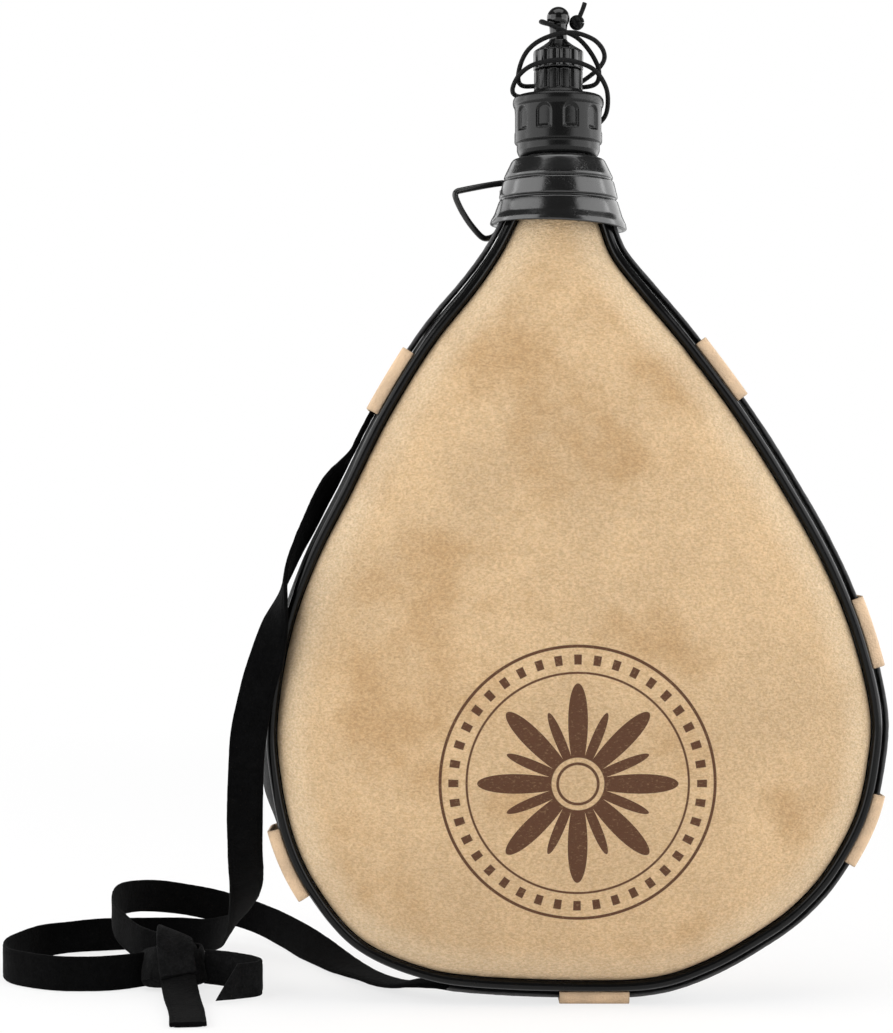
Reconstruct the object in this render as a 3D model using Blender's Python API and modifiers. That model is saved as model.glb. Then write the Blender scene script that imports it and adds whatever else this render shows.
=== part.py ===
"""A leather bota bag that stands on the strap loop under its lowest point.

X runs to the viewer's right, Y away from the viewer and Z up. The origin is the centre of the
flat underside of the bottom loop. All sizes are in metres.
"""

import math

import bmesh
import bpy
import numpy as np
from mathutils import Matrix
from mathutils import Vector

# Whole part
NAME = "leather_bota_bag"
CLEARANCE = 0.0003
OVERRUN = 0.0020
MERGE_DISTANCE = 0.00001
SMOOTH_ANGLE = math.radians(38)
SAMPLES_PER_POINT = 24
HEADING_SHARE = 0.002

# Leather bag: the outline is read from the neck's left end, down the left side, round the
# bottom and up the right side to the neck's right end
LEATHER_HEIGHT = 0.2676
LEFT_REACH = 0.0944
RIGHT_REACH = 0.1040
NECK_HALF_WIDTH = 0.0100
LOWEST_OFFSET = 0.0117
LEATHER_THICKNESS = 0.0015
DOME_HEIGHT = 0.0210
SEAM_DEPTH = 0.0110
NECK_SEAM_DEPTH = 0.0072
NECK_TAPER_START = 0.0140
NECK_TAPER_END = 0.0550
PANEL_SET_BACK = 0.0006
LEFT_OUTLINE_SHARES = [
    (0.000, 1.000),
    (0.006, 0.979),
    (0.050, 0.950),
    (0.121, 0.907),
    (0.223, 0.860),
    (0.390, 0.793),
    (0.564, 0.703),
    (0.707, 0.612),
    (0.851, 0.522),
    (0.949, 0.432),
    (1.000, 0.335),
    (0.995, 0.268),
    (0.942, 0.183),
    (0.842, 0.116),
    (0.675, 0.053),
    (0.438, 0.018),
    (0.194, 0.005),
]
RIGHT_OUTLINE_SHARES = [
    (0.000, 1.000),
    (0.004, 0.979),
    (0.034, 0.950),
    (0.081, 0.907),
    (0.180, 0.860),
    (0.336, 0.793),
    (0.526, 0.703),
    (0.689, 0.612),
    (0.832, 0.522),
    (0.936, 0.432),
    (1.000, 0.339),
    (0.993, 0.274),
    (0.947, 0.206),
    (0.843, 0.139),
    (0.726, 0.093),
    (0.596, 0.060),
    (0.422, 0.026),
    (0.245, 0.005),
]
# Where the panel's rows end on the outline, and how high its middle stands at each row
LEFT_CORNER_SHARE = 0.395
RIGHT_CORNER_SHARE = 0.593
DOME_SHARES = [
    (0.000, 0.260),
    (0.050, 0.330),
    (0.100, 0.400),
    (0.165, 0.500),
    (0.255, 0.640),
    (0.355, 0.785),
    (0.475, 0.905),
    (0.590, 0.975),
    (0.700, 1.000),
    (1.000, 1.000),
]
BOTTOM_DOME_SHARE = 0.62
DOME_SQUARENESS = 2.4
DOME_ROUNDNESS = 0.75
PANEL_COLUMNS = 12
PANEL_ROWS = 24

# Rubber liner inside the leather
LINER_THICKNESS = 0.0008
LINER_NECK_RADIUS = 0.0101
LINER_INSET = 0.0040
LINER_EDGE_GAP = 0.0021
LINER_DOME_GAP = 0.0006
LINER_NECK_DROP = 0.0008
LINER_ROUND_START = 0.0140
LINER_ROUND_END = 0.0300
LINER_COLUMNS = 8
LINER_ROWS = 12

# Gusset band and the beads along its two seams
TRIM_RADIUS = 0.0017
TRIM_OUT = 0.0020
TRIM_SETBACK = 0.0070
GUSSET_OUT = 0.0030
GUSSET_THICKNESS = 0.0012
GUSSET_BULGE = 0.0022
NECK_BULGE = 0.0010
FREE_BULGE = 0.0041
FREE_BULGE_RAMP = 0.0140
EDGE_STATIONS = 72
GUSSET_COLUMNS = 4

# Strap and its loops, each loop placed by its share of the outline
STRAP_WIDTH = 0.0120
STRAP_THICKNESS = 0.0016
STRAP_SETBACK = 0.0088
STRAP_LEFT_TAIL = 0.0100
STRAP_LOW_LEAD = 0.0480
STRAP_LEAD = 0.0050
LOOP_LENGTH = 0.0235
LOOP_THICKNESS = 0.0010
LOOP_FOOT_DEPTH = 0.0104
LOOP_FOOT_OUT = 0.00395
LOOP_STATIONS = 4
LOOP_SECTION_SHARES = [
    (0.00, 1.00),
    (0.58, 0.98),
    (0.89, 0.88),
    (1.00, 0.73),
]
LOOP_PLACE_SHARES = {
    "loop_left_upper": 0.115,
    "loop_left_middle": 0.255,
    "loop_left_lower": 0.350,
    "loop_right_lower": 0.660,
    "loop_right_middle": 0.750,
    "loop_right_upper": 0.890,
}

# Free lengths of the strap: the middle of the strap, then the way its width points
HANGING_ROUTE = [
    ((-0.0881, -0.0004, 0.1772), (-0.32, -0.93, 0.16)),
    ((-0.0923, -0.0012, 0.1698), (-0.36, -0.92, 0.18)),
    ((-0.0963, -0.0030, 0.1613), (-0.31, -0.94, 0.15)),
    ((-0.1002, -0.0062, 0.1529), (-0.22, -0.97, 0.10)),
    ((-0.1033, -0.0100, 0.1441), (-0.05, -1.00, 0.03)),
    ((-0.1052, -0.0128, 0.1360), (0.35, -0.94, 0.00)),
    ((-0.1072, -0.0146, 0.1270), (0.80, -0.60, 0.00)),
    ((-0.1096, -0.0156, 0.1170), (0.96, -0.28, 0.00)),
    ((-0.1127, -0.0162, 0.1060), (1.00, -0.08, 0.00)),
    ((-0.1158, -0.0165, 0.0896), (1.00, 0.00, 0.00)),
    ((-0.1170, -0.0140, 0.0693), (1.00, 0.00, 0.00)),
    ((-0.1180, -0.0020, 0.0509), (1.00, 0.10, 0.05)),
    ((-0.1196, 0.0200, 0.0338), (0.90, 0.20, 0.35)),
    ((-0.1256, 0.0500, 0.0175), (0.60, 0.00, 0.80)),
    ((-0.1363, 0.0760, 0.0085), (0.20, 0.00, 1.00)),
    ((-0.1505, 0.0880, 0.0066), (0.00, 0.00, 1.00)),
    ((-0.1656, 0.0900, 0.0063), (0.00, 0.00, 1.00)),
    ((-0.1839, 0.0860, 0.0063), (0.00, 0.00, 1.00)),
    ((-0.1990, 0.0750, 0.0063), (0.00, 0.00, 1.00)),
    ((-0.2060, 0.0580, 0.0063), (0.00, 0.00, 1.00)),
    ((-0.2073, 0.0420, 0.0063), (0.00, 0.00, 1.00)),
    ((-0.2040, 0.0280, 0.0063), (0.00, 0.00, 1.00)),
    ((-0.1945, 0.0180, 0.0063), (0.00, 0.00, 1.00)),
    ((-0.1829, 0.0120, 0.0063), (0.00, 0.00, 1.00)),
    ((-0.1710, 0.0115, 0.0063), (0.00, 0.00, 1.00)),
    ((-0.1615, 0.0150, 0.0063), (0.00, 0.00, 1.00)),
    ((-0.1548, 0.0190, 0.0065), (0.00, 0.00, 1.00)),
]
BACK_ROUTE = [
    ((-0.0605, 0.0035, 0.0048), (0.35, 1.00, 0.00)),
    ((-0.0675, 0.0120, 0.0028), (0.75, 0.60, 0.00)),
    ((-0.0770, 0.0290, 0.0020), (0.90, 0.45, 0.00)),
    ((-0.0870, 0.0480, 0.0024), (0.85, 0.45, 0.20)),
    ((-0.0985, 0.0700, 0.0045), (0.65, 0.30, 0.60)),
    ((-0.1110, 0.0920, 0.0070), (0.25, 0.10, 1.00)),
    ((-0.1250, 0.1080, 0.0100), (0.00, 0.00, 1.00)),
    ((-0.1430, 0.1130, 0.0140), (0.00, 0.00, 1.00)),
    ((-0.1600, 0.1080, 0.0175), (0.00, 0.00, 1.00)),
    ((-0.1700, 0.0960, 0.0192), (0.00, 0.00, 1.00)),
    ((-0.1735, 0.0820, 0.0190), (0.00, 0.00, 1.00)),
    ((-0.1715, 0.0640, 0.0165), (0.00, 0.00, 1.00)),
    ((-0.1645, 0.0480, 0.0135), (0.00, 0.00, 1.00)),
    ((-0.1580, 0.0370, 0.0120), (0.00, 0.00, 1.00)),
    ((-0.1512, 0.0292, 0.0113), (0.00, 0.00, 1.00)),
]
TAIL_FRONT_ROUTE = [
    ((-0.1424, 0.0101, 0.0072), (1.00, 0.00, 0.10)),
    ((-0.1412, 0.0040, 0.0049), (1.00, 0.05, 0.08)),
    ((-0.1385, -0.0100, 0.0026), (0.98, 0.18, 0.05)),
    ((-0.1350, -0.0280, 0.0014), (0.97, 0.20, 0.00)),
    ((-0.1325, -0.0460, 0.0011), (0.98, 0.12, 0.00)),
]
TAIL_RIGHT_ROUTE = [
    ((-0.1337, 0.0184, 0.0075), (0.00, 0.00, 1.00)),
    ((-0.1255, 0.0155, 0.0072), (0.00, 0.00, 1.00)),
    ((-0.1180, 0.0105, 0.0070), (0.00, 0.00, 1.00)),
    ((-0.1140, 0.0060, 0.0068), (0.00, 0.00, 1.00)),
    ((-0.1132, 0.0025, 0.0068), (0.00, 0.00, 1.00)),
    ((-0.1150, -0.0010, 0.0068), (0.00, 0.00, 1.00)),
    ((-0.1205, -0.0055, 0.0070), (0.00, 0.00, 1.00)),
    ((-0.1275, -0.0105, 0.0074), (0.00, 0.10, 1.00)),
]
HANGING_STATIONS = 52
BACK_STATIONS = 32
TAIL_FRONT_STATIONS = 10
TAIL_RIGHT_STATIONS = 18
KNOT_CENTRE = (-0.1440, 0.0205, 0.0092)
KNOT_SIZE = (0.0200, 0.0200, 0.0176)
KNOT_SQUARENESS = 0.62

# Spout in the neck, from its barrel inside the liner to its rim
SPOUT_BORE_RADIUS = 0.0075
SPOUT_BARREL_RADIUS = 0.0090
SPOUT_BARREL_LENGTH = 0.0160
SPOUT_FLANGE_RADIUS = 0.0140
SPOUT_FLANGE_THICKNESS = 0.0017
SPOUT_BODY_RADIUS = 0.0119
SPOUT_STEP = 0.0006
SPOUT_NECK_RADIUS = 0.0110
SPOUT_NECK_LENGTH = 0.0139
SPOUT_RIM_BEVEL = 0.0004
SPOUT_SIDES = 28
THREAD_PITCH = 0.0030
THREAD_RIDGE = 0.0007
THREAD_START = 0.0024
THREAD_TURNS = 2.25
CAP_THREAD_TURNS = 1.5
THREAD_POINTS_PER_TURN = 16

# Clamp round the leather's neck
CLAMP_ROOM = 0.0012
CLAMP_DEPTH_ROOM = 0.0014
CLAMP_THICKNESS = 0.0010
CLAMP_HEIGHT = 0.0030
CLAMP_SETBACK = 0.0005
CLAMP_SIDES = 28

# Collar over the clamp and the strap's ends
COLLAR_RISE = 0.0090
COLLAR_HEIGHT = 0.0220
COLLAR_TOP_INSET = 0.0002
COLLAR_RIM_ROOM = 0.0024
COLLAR_RIM_WALL = 0.0010
COLLAR_DEPTH_SHARE = 0.82
COLLAR_DROOP = 0.0020
COLLAR_SIDES = 32
COLLAR_OUTER_SHARES = [
    (0.000, -0.090),
    (0.030, 0.000),
    (0.265, 0.340),
    (0.295, 0.350),
    (0.318, 0.270),
    (0.345, 0.400),
    (0.560, 0.565),
    (0.585, 0.570),
    (0.610, 0.457),
    (0.640, 0.580),
    (0.840, 0.800),
    (0.930, 0.960),
    (0.985, 1.000),
    (1.000, 0.950),
]
COLLAR_INNER_SHARES = [
    (1.000, 0.857),
    (0.930, 0.800),
    (0.820, 0.620),
    (0.610, 0.320),
    (0.410, 0.130),
]
COLLAR_SHOULDER_SHARE = 0.057

# Wire loop in a sleeve on the collar's back left
WIRE_RADIUS = 0.00105
SLEEVE_X = -0.0176
SLEEVE_Y = 0.0124
SLEEVE_RADIUS = 0.0021
SLEEVE_TOP_DROP = 0.0085
SLEEVE_LENGTH = 0.0060
SLEEVE_WEB_WIDTH = 0.0024
SLEEVE_WEB_LENGTH = 0.0036
SLEEVE_SIDES = 20
WIRE_END_GAP = 0.0012
WIRE_POINTS = 38
WIRE_ROUTE = [
    (0.0000, 0.0000, 0.0030),
    (0.0000, 0.0000, 0.0045),
    (-0.0006, -0.0002, 0.0055),
    (-0.0030, -0.0011, 0.0052),
    (-0.0084, -0.0033, 0.0040),
    (-0.0150, -0.0055, 0.0024),
    (-0.0168, -0.0061, 0.0018),
    (-0.0174, -0.0062, 0.0006),
    (-0.0166, -0.0058, -0.0018),
    (-0.0148, -0.0054, -0.0053),
    (-0.0120, -0.0044, -0.0094),
    (-0.0084, -0.0026, -0.0132),
    (-0.0060, -0.0010, -0.0136),
    (-0.0036, 0.0010, -0.0122),
    (-0.0020, 0.0016, -0.0094),
    (-0.0007, 0.0007, -0.0060),
    (0.0000, 0.0000, -0.0042),
    (0.0000, 0.0000, -0.0030),
]

# Filling cap with the foot of the drinking part on its top
CAP_BORE_RADIUS = 0.0122
CAP_LIP_WALL = 0.0007
CAP_BODY_RADIUS = 0.0149
CAP_BAND_RADIUS = 0.0141
CAP_BEAD_OUT = 0.0006
CAP_HEIGHT = 0.0206
CAP_CEILING = 0.0032
CAP_SIDES = 30
CAP_OUTER_SHARES = [
    (1.000, 0.940),
    (0.955, 0.990),
    (0.890, 1.000),
    (0.840, 0.985),
]
CAP_BODY_TOP_SHARE = 0.815
CAP_BODY_LOW_SHARE = 0.238
CAP_BAND_TOP_SHARE = 0.209
CAP_BAND_LOW_SHARE = 0.102
CAP_TAPER_SHARE = 0.034
FLUTE_COUNT = 10
FLUTE_WIDTH = 0.0052
FLUTE_DEPTH = 0.0007
FLUTE_LOW = 0.0085
FLUTE_TOP = 0.0164
FLUTE_TURN = math.radians(14)
FLUTE_ARC_POINTS = 6
FOOT_HEIGHT = 0.0088
FOOT_RADIUS = 0.0083
FOOT_FLARE_RADIUS = 0.0095
FOOT_FLARE_HEIGHT = 0.0020
FOOT_BORE_RADIUS = 0.0055

# Grooves round the foot and the stopper's head
GRIP_COUNT = 12
GRIP_GROOVE_RADIUS = 0.0010
GRIP_GROOVE_OUT = 0.0003
GRIP_GROOVE_SIDES = 6
GRIP_MARGIN = 0.0008

# Gasket and drinking nozzle inside the cap
GASKET_THICKNESS = 0.0015
GASKET_BORE_RADIUS = 0.0079
GASKET_SIDES = 24
NOZZLE_FLANGE_THICKNESS = 0.0014
NOZZLE_FLANGE_RADIUS = 0.0113
NOZZLE_TUBE_RADIUS = 0.0052
NOZZLE_TIP_RADIUS = 0.0036
NOZZLE_TIP_LENGTH = 0.0049
NOZZLE_BORE_RADIUS = 0.0018
NOZZLE_SIDES = 20
TIP_THREAD_PITCH = 0.0015
TIP_THREAD_RIDGE = 0.00035
TIP_THREAD_START = 0.0010
TIP_THREAD_TURNS = 2.0
TIP_THREAD_POINTS_PER_TURN = 12

# Stopper: fluted head, stem and ball, with a seal inside
STOPPER_HEAD_RADIUS = 0.0085
STOPPER_HEAD_HEIGHT = 0.0070
STOPPER_BORE_RADIUS = 0.0043
STOPPER_STEM_RADIUS = 0.00305
STOPPER_DOME_HEIGHT = 0.0030
STOPPER_BALL_RADIUS = 0.00385
STOPPER_BALL_RISE = 0.0108
STOPPER_BALL_STEPS = 7
STOPPER_SIDES = 24
STOPPER_THREAD_TURNS = 1.0
SEAL_THICKNESS = 0.0009
SEAL_SIDES = 16
STOPPER_DOME_SHARES = [
    (0.06, 0.42),
    (0.30, 0.66),
    (0.66, 0.88),
]

# Cord wound round the closure, seen from its axis at the cap's underside. Its points go with a
# cap body of CORD_FITS_RADIUS and spread with another one, less and less from CORD_SPREAD_TOP
# up to CORD_STEM_LOW, where it keeps to the stopper's stem
CORD_FITS_RADIUS = 0.0149
CORD_SPREAD_TOP = 0.0300
CORD_STEM_LOW = 0.0420
CORD_RADIUS = 0.0008
CORD_POINTS = 64
CORD_LEAST_GAP = 0.0004
CORD_ROUTE = [
    (0.0102, 0.0124, 0.0120),
    (0.0137, 0.0092, 0.0128),
    (0.0163, 0.0045, 0.0152),
    (0.0168, -0.0010, 0.0190),
    (0.0157, -0.0060, 0.0232),
    (0.0122, -0.0105, 0.0274),
    (0.0076, -0.0128, 0.0295),
    (0.0016, -0.0140, 0.0306),
    (-0.0043, -0.0135, 0.0303),
    (-0.0096, -0.0113, 0.0292),
    (-0.0135, -0.0080, 0.0267),
    (-0.0155, -0.0035, 0.0235),
    (-0.0150, 0.0022, 0.0221),
    (-0.0120, 0.0088, 0.0224),
    (-0.0040, 0.0134, 0.0240),
    (0.0060, 0.0138, 0.0270),
    (0.0125, 0.0098, 0.0306),
    (0.0153, 0.0045, 0.0330),
    (0.0157, 0.0000, 0.0350),
    (0.0141, -0.0035, 0.0374),
    (0.0108, -0.0065, 0.0394),
    (0.0049, -0.0088, 0.0408),
    (-0.0011, -0.0097, 0.0401),
    (-0.0069, -0.0098, 0.0378),
    (-0.0108, -0.0084, 0.0347),
    (-0.0130, -0.0050, 0.0308),
    (-0.0136, 0.0000, 0.0268),
    (-0.0118, 0.0050, 0.0254),
    (-0.0060, 0.0096, 0.0262),
    (0.0020, 0.0109, 0.0262),
    (0.0095, 0.0088, 0.0257),
    (0.0133, 0.0038, 0.0262),
    (0.0138, -0.0006, 0.0294),
    (0.0122, -0.0018, 0.0333),
    (0.0094, -0.0022, 0.0374),
    (0.0062, -0.0034, 0.0402),
    (0.0022, -0.0046, 0.0420),
    (-0.0022, -0.0047, 0.0440),
    (-0.0052, -0.0026, 0.0457),
    (-0.0057, 0.0012, 0.0465),
    (-0.0036, 0.0044, 0.0466),
    (0.0000, 0.0055, 0.0464),
    (0.0032, 0.0046, 0.0462),
]
CORD_KNOT_CENTRE = (0.0064, 0.0020, 0.0464)
CORD_KNOT_SIZE = (0.0052, 0.0052, 0.0062)
CORD_TAIL_RADIUS = 0.0009
CORD_TAIL_ROUTE = [
    (0.0070, 0.0018, 0.0470),
    (0.0078, 0.0014, 0.0494),
    (0.0086, 0.0012, 0.0514),
    (0.0091, 0.0012, 0.0530),
]

# Colours and roughness of each material
LEATHER_COLOUR = (0.60, 0.35, 0.17, 1.0)
LOOP_COLOUR = (0.50, 0.28, 0.13, 1.0)
STRAP_COLOUR = (0.020, 0.020, 0.021, 1.0)
GUSSET_COLOUR = (0.035, 0.035, 0.037, 1.0)
PLASTIC_COLOUR = (0.012, 0.012, 0.013, 1.0)
CORD_COLOUR = (0.016, 0.016, 0.017, 1.0)
LINER_COLOUR = (0.30, 0.20, 0.12, 1.0)
CLAMP_COLOUR = (0.45, 0.45, 0.46, 1.0)
SEAL_COLOUR = (0.35, 0.05, 0.04, 1.0)
SPOUT_COLOUR = (0.65, 0.62, 0.55, 1.0)

DEPTH_AXIS = np.array([0.0, 1.0, 0.0])

# Sizes that follow from the ones above
STRAP_OUT = GUSSET_OUT + GUSSET_BULGE + CLEARANCE + STRAP_THICKNESS
LOOP_INNER_OUT = STRAP_OUT + CLEARANCE
LOOP_OUT = LOOP_INNER_OUT + LOOP_THICKNESS
LEATHER_BASE = LOOP_OUT
NECK_TOP = LEATHER_BASE + LEATHER_HEIGHT
NECK_X = -LOWEST_OFFSET
COLLAR_TOP = NECK_TOP + COLLAR_RISE
SPOUT_BODY_TOP = COLLAR_TOP + SPOUT_STEP
SPOUT_RIM = SPOUT_BODY_TOP + SPOUT_NECK_LENGTH
CAP_LOW = SPOUT_BODY_TOP + CLEARANCE
GASKET_LOW = SPOUT_RIM + CLEARANCE
NOZZLE_LOW = GASKET_LOW + GASKET_THICKNESS + CLEARANCE
CAP_CEILING_Z = NOZZLE_LOW + NOZZLE_FLANGE_THICKNESS + CLEARANCE
CAP_TOP = CAP_LOW + CAP_HEIGHT
FOOT_TOP = CAP_TOP + FOOT_HEIGHT
STOPPER_LOW = FOOT_TOP + CLEARANCE
NOZZLE_TIP_TOP = FOOT_TOP + NOZZLE_TIP_LENGTH
SEAL_LOW = NOZZLE_TIP_TOP + CLEARANCE
STOPPER_CEILING = SEAL_LOW + SEAL_THICKNESS + CLEARANCE
STOPPER_HEAD_TOP = STOPPER_LOW + STOPPER_HEAD_HEIGHT
STOPPER_BALL_Z = STOPPER_HEAD_TOP + STOPPER_BALL_RISE
CLAMP_HALF_WIDTH = NECK_HALF_WIDTH + GUSSET_OUT + NECK_BULGE + CLAMP_ROOM
CLAMP_HALF_DEPTH = (NECK_SEAM_DEPTH - PANEL_SET_BACK + DOME_HEIGHT * DOME_SHARES[0][1]
                    + CLAMP_DEPTH_ROOM)
SLEEVE_MIDDLE_Z = COLLAR_TOP - SLEEVE_TOP_DROP - SLEEVE_LENGTH / 2


def clear_scene():
    """Remove every object that the scene starts with."""
    for item in list(bpy.data.objects):
        bpy.data.objects.remove(item, do_unlink=True)


def new_collection(name):
    """Make a collection under the scene."""
    collection = bpy.data.collections.new(name)
    bpy.context.scene.collection.children.link(collection)
    return collection


def new_material(name, colour, roughness, metallic):
    """Make a plain material."""
    material = bpy.data.materials.new(name)
    material.use_nodes = True
    shader = material.node_tree.nodes["Principled BSDF"]
    shader.inputs["Base Color"].default_value = colour
    shader.inputs["Roughness"].default_value = roughness
    shader.inputs["Metallic"].default_value = metallic
    material.diffuse_color = colour
    return material


def smooth_line(points, samples):
    """Read samples from a smooth curve through the points."""
    points = np.array(points, dtype=float)
    before_first = 2 * points[0] - points[1]
    after_last = 2 * points[-1] - points[-2]
    chain = np.vstack([before_first, points, after_last])
    steps = np.linspace(0, 1, samples, endpoint=False)[:, None]
    pieces = []
    for before, start, end, after in zip(chain, chain[1:], chain[2:], chain[3:]):
        first = (end - before) * steps
        second = (2 * before - 5 * start + 4 * end - after) * steps ** 2
        third = (3 * start - before - 3 * end + after) * steps ** 3
        pieces.append((2 * start + first + second + third) / 2)
    pieces.append(points[-1:])
    return np.vstack(pieces)


def ease(value, low, high):
    """Run smoothly from 0 at low to 1 at high."""
    share = min(max((value - low) / (high - low), 0.0), 1.0)
    return share * share * (3 - 2 * share)


class Line:
    """A smooth line through points, read by the distance along it."""

    def __init__(self, places, values=None):
        self.places = smooth_line(places, SAMPLES_PER_POINT)
        self.values = self.places
        if values is not None:
            self.values = smooth_line(values, SAMPLES_PER_POINT)
        steps = np.linalg.norm(np.diff(self.places, axis=0), axis=1)
        self.reached = np.concatenate([[0.0], np.cumsum(steps)])
        self.length = self.reached[-1]

    def place(self, distance):
        """Give the point at a distance."""
        return np.array([np.interp(distance, self.reached, axis) for axis in self.places.T])

    def value(self, distance):
        """Give the value that goes with a distance."""
        return np.array([np.interp(distance, self.reached, axis) for axis in self.values.T])

    def heading(self, distance):
        """Give the way the line runs at a distance."""
        step = self.length * HEADING_SHARE
        ahead = self.place(min(distance + step, self.length))
        behind = self.place(max(distance - step, 0.0))
        return (ahead - behind) / np.linalg.norm(ahead - behind)


def outline_points():
    """Place the outline's points from their shares."""
    points = []
    for out_share, height_share in LEFT_OUTLINE_SHARES:
        reach = NECK_HALF_WIDTH + (LEFT_REACH - NECK_HALF_WIDTH) * out_share
        points.append((NECK_X - reach, 0.0, LEATHER_BASE + LEATHER_HEIGHT * height_share))
    points.append((0.0, 0.0, LEATHER_BASE))
    for out_share, height_share in reversed(RIGHT_OUTLINE_SHARES):
        reach = NECK_HALF_WIDTH + (RIGHT_REACH - NECK_HALF_WIDTH) * out_share
        points.append((NECK_X + reach, 0.0, LEATHER_BASE + LEATHER_HEIGHT * height_share))
    return points


class Edge:
    """The leather's outline in straight stretches that all pieces along it share."""

    def __init__(self, points, stations):
        line = Line(points)
        self.length = line.length
        self.reached = np.linspace(0.0, line.length, stations + 1)
        self.places = np.array([line.place(distance) for distance in self.reached])
        headings = [line.heading(distance) for distance in self.reached]
        self.ways_out = np.array([(along[2], 0.0, -along[0]) for along in headings])
        self.lowest = line.reached[len(LEFT_OUTLINE_SHARES) * SAMPLES_PER_POINT]

    def place(self, distance):
        """Give the point at a distance."""
        return np.array([np.interp(distance, self.reached, axis) for axis in self.places.T])

    def outward(self, distance):
        """Give the way out of the bag, square to its edge."""
        return np.array([np.interp(distance, self.reached, axis) for axis in self.ways_out.T])

    def heading(self, distance):
        """Give the way the outline runs."""
        out = self.outward(distance)
        return np.array([-out[2], 0.0, out[0]])


EDGE = Edge(outline_points(), EDGE_STATIONS)
DOME_LINE = smooth_line(DOME_SHARES, SAMPLES_PER_POINT)


def edge_point(distance, out, depth):
    """Give a point beside the leather's edge."""
    return EDGE.place(distance) + EDGE.outward(distance) * out + DEPTH_AXIS * depth


def from_neck(distance):
    """Give the distance to the nearer end of the outline."""
    return min(distance, EDGE.length - distance)


def edge_stations(start, end):
    """Give the places where pieces along the edge have their sections."""
    step = EDGE.length / EDGE_STATIONS
    first = math.floor(start / step) + 1
    last = math.ceil(end / step)
    return [start] + [step * index for index in range(first, last)] + [end]


def seam_depth(distance):
    """Give the seam's distance from the bag's middle plane."""
    share = ease(from_neck(distance), NECK_TAPER_START, NECK_TAPER_END)
    return NECK_SEAM_DEPTH + (SEAM_DEPTH - NECK_SEAM_DEPTH) * share


def strap_bulge(distance):
    """Give the gusset's rise where the strap lies on it."""
    share = ease(from_neck(distance), NECK_TAPER_START, NECK_TAPER_END)
    return NECK_BULGE + (GUSSET_BULGE - NECK_BULGE) * share


def gusset_bulge(distance):
    """Give the gusset's rise in its middle, larger where no strap holds it in."""
    start = loop_distance("loop_left_middle") + LOOP_LENGTH / 2
    end = loop_distance("loop_left_lower") - LOOP_LENGTH / 2
    rise = ease(distance, start, start + FREE_BULGE_RAMP)
    fall = ease(distance, end - FREE_BULGE_RAMP, end)
    return strap_bulge(distance) + (FREE_BULGE - GUSSET_BULGE) * (rise - fall)


def loop_distance(name):
    """Give the place of a strap loop along the outline."""
    return EDGE.length * LOOP_PLACE_SHARES[name]


def panel_place(across, down, inset):
    """Give a place between the edges, at shares of the way across and down."""
    left_corner = EDGE.length * LEFT_CORNER_SHARE
    right_corner = EDGE.length * RIGHT_CORNER_SHARE
    right_start = EDGE.length + (right_corner - EDGE.length) * down
    left = edge_point(left_corner * down, -inset, 0.0)
    right = edge_point(right_start, -inset, 0.0)
    low = edge_point(left_corner + (right_corner - left_corner) * across, -inset, 0.0)
    low_left = edge_point(left_corner, -inset, 0.0)
    low_right = edge_point(right_corner, -inset, 0.0)
    sides = left * (1 - across) + right * across
    bend = low - low_left * (1 - across) - low_right * across
    return sides + bend * down


def panel_height(across, down):
    """Give the share of the dome's height at a place on the panel."""
    middle = np.interp(down, DOME_LINE[:, 0], DOME_LINE[:, 1])
    side = max(1 - abs(2 * across - 1) ** DOME_SQUARENESS, 0.0) ** DOME_ROUNDNESS
    past = max((down - BOTTOM_DOME_SHARE) / (1 - BOTTOM_DOME_SHARE), 0.0)
    low = max(1 - past ** DOME_SQUARENESS, 0.0) ** DOME_ROUNDNESS
    return middle * side * low


def row_seam_depth(across, down):
    """Give the seam's depth on a row of the panel."""
    left = seam_depth(EDGE.length * LEFT_CORNER_SHARE * down)
    right = seam_depth(EDGE.length * (1 - RIGHT_CORNER_SHARE) * down)
    return left * (1 - across) + right * across


def eased_shares(count):
    """Give shares from 0 to 1 that lie closer together at both ends."""
    return [(1 - math.cos(math.pi * step / count)) / 2 for step in range(count + 1)]


def add_object(name, mesh, collection, material):
    """Put a mesh in the scene as a named object."""
    item = bpy.data.objects.new(name, mesh)
    collection.objects.link(item)
    if material is not None:
        mesh.materials.append(material)
    return item


def shade_round(mesh):
    """Shade a mesh smooth but keep its sharp edges."""
    mesh.shade_smooth()
    mesh.set_sharp_from_angle(angle=SMOOTH_ANGLE)


def grid_mesh(name, rows, closed):
    """Join rows of points into one sheet. A closed sheet's rows meet their own start."""
    count = len(rows[0])
    points = [tuple(point) for row in rows for point in row]
    columns = count if closed else count - 1
    faces = []
    for row in range(len(rows) - 1):
        for column in range(columns):
            beside = (column + 1) % count
            low = (row + 1) * count
            faces.append((row * count + column, low + column, low + beside,
                          row * count + beside))
    mesh = bpy.data.meshes.new(name)
    mesh.from_pydata(points, [], faces)
    return mesh


def thicken(item, thickness):
    """Give a sheet its thickness, on the side that it doesn't face."""
    solid = item.modifiers.new("Solidify", "SOLIDIFY")
    solid.thickness = thickness
    solid.offset = -1.0
    solid.use_even_offset = True


def loft_mesh(name, sections):
    """Join closed sections into one solid with flat ends."""
    count = len(sections[0])
    mesh = grid_mesh(name, sections, True)
    cage = bmesh.new()
    cage.from_mesh(mesh)
    cage.verts.ensure_lookup_table()
    last = len(cage.verts) - count
    cage.faces.new([cage.verts[index] for index in range(count)])
    cage.faces.new([cage.verts[last + index] for index in range(count)])
    bmesh.ops.recalc_face_normals(cage, faces=cage.faces)
    cage.to_mesh(mesh)
    cage.free()
    return mesh


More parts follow.
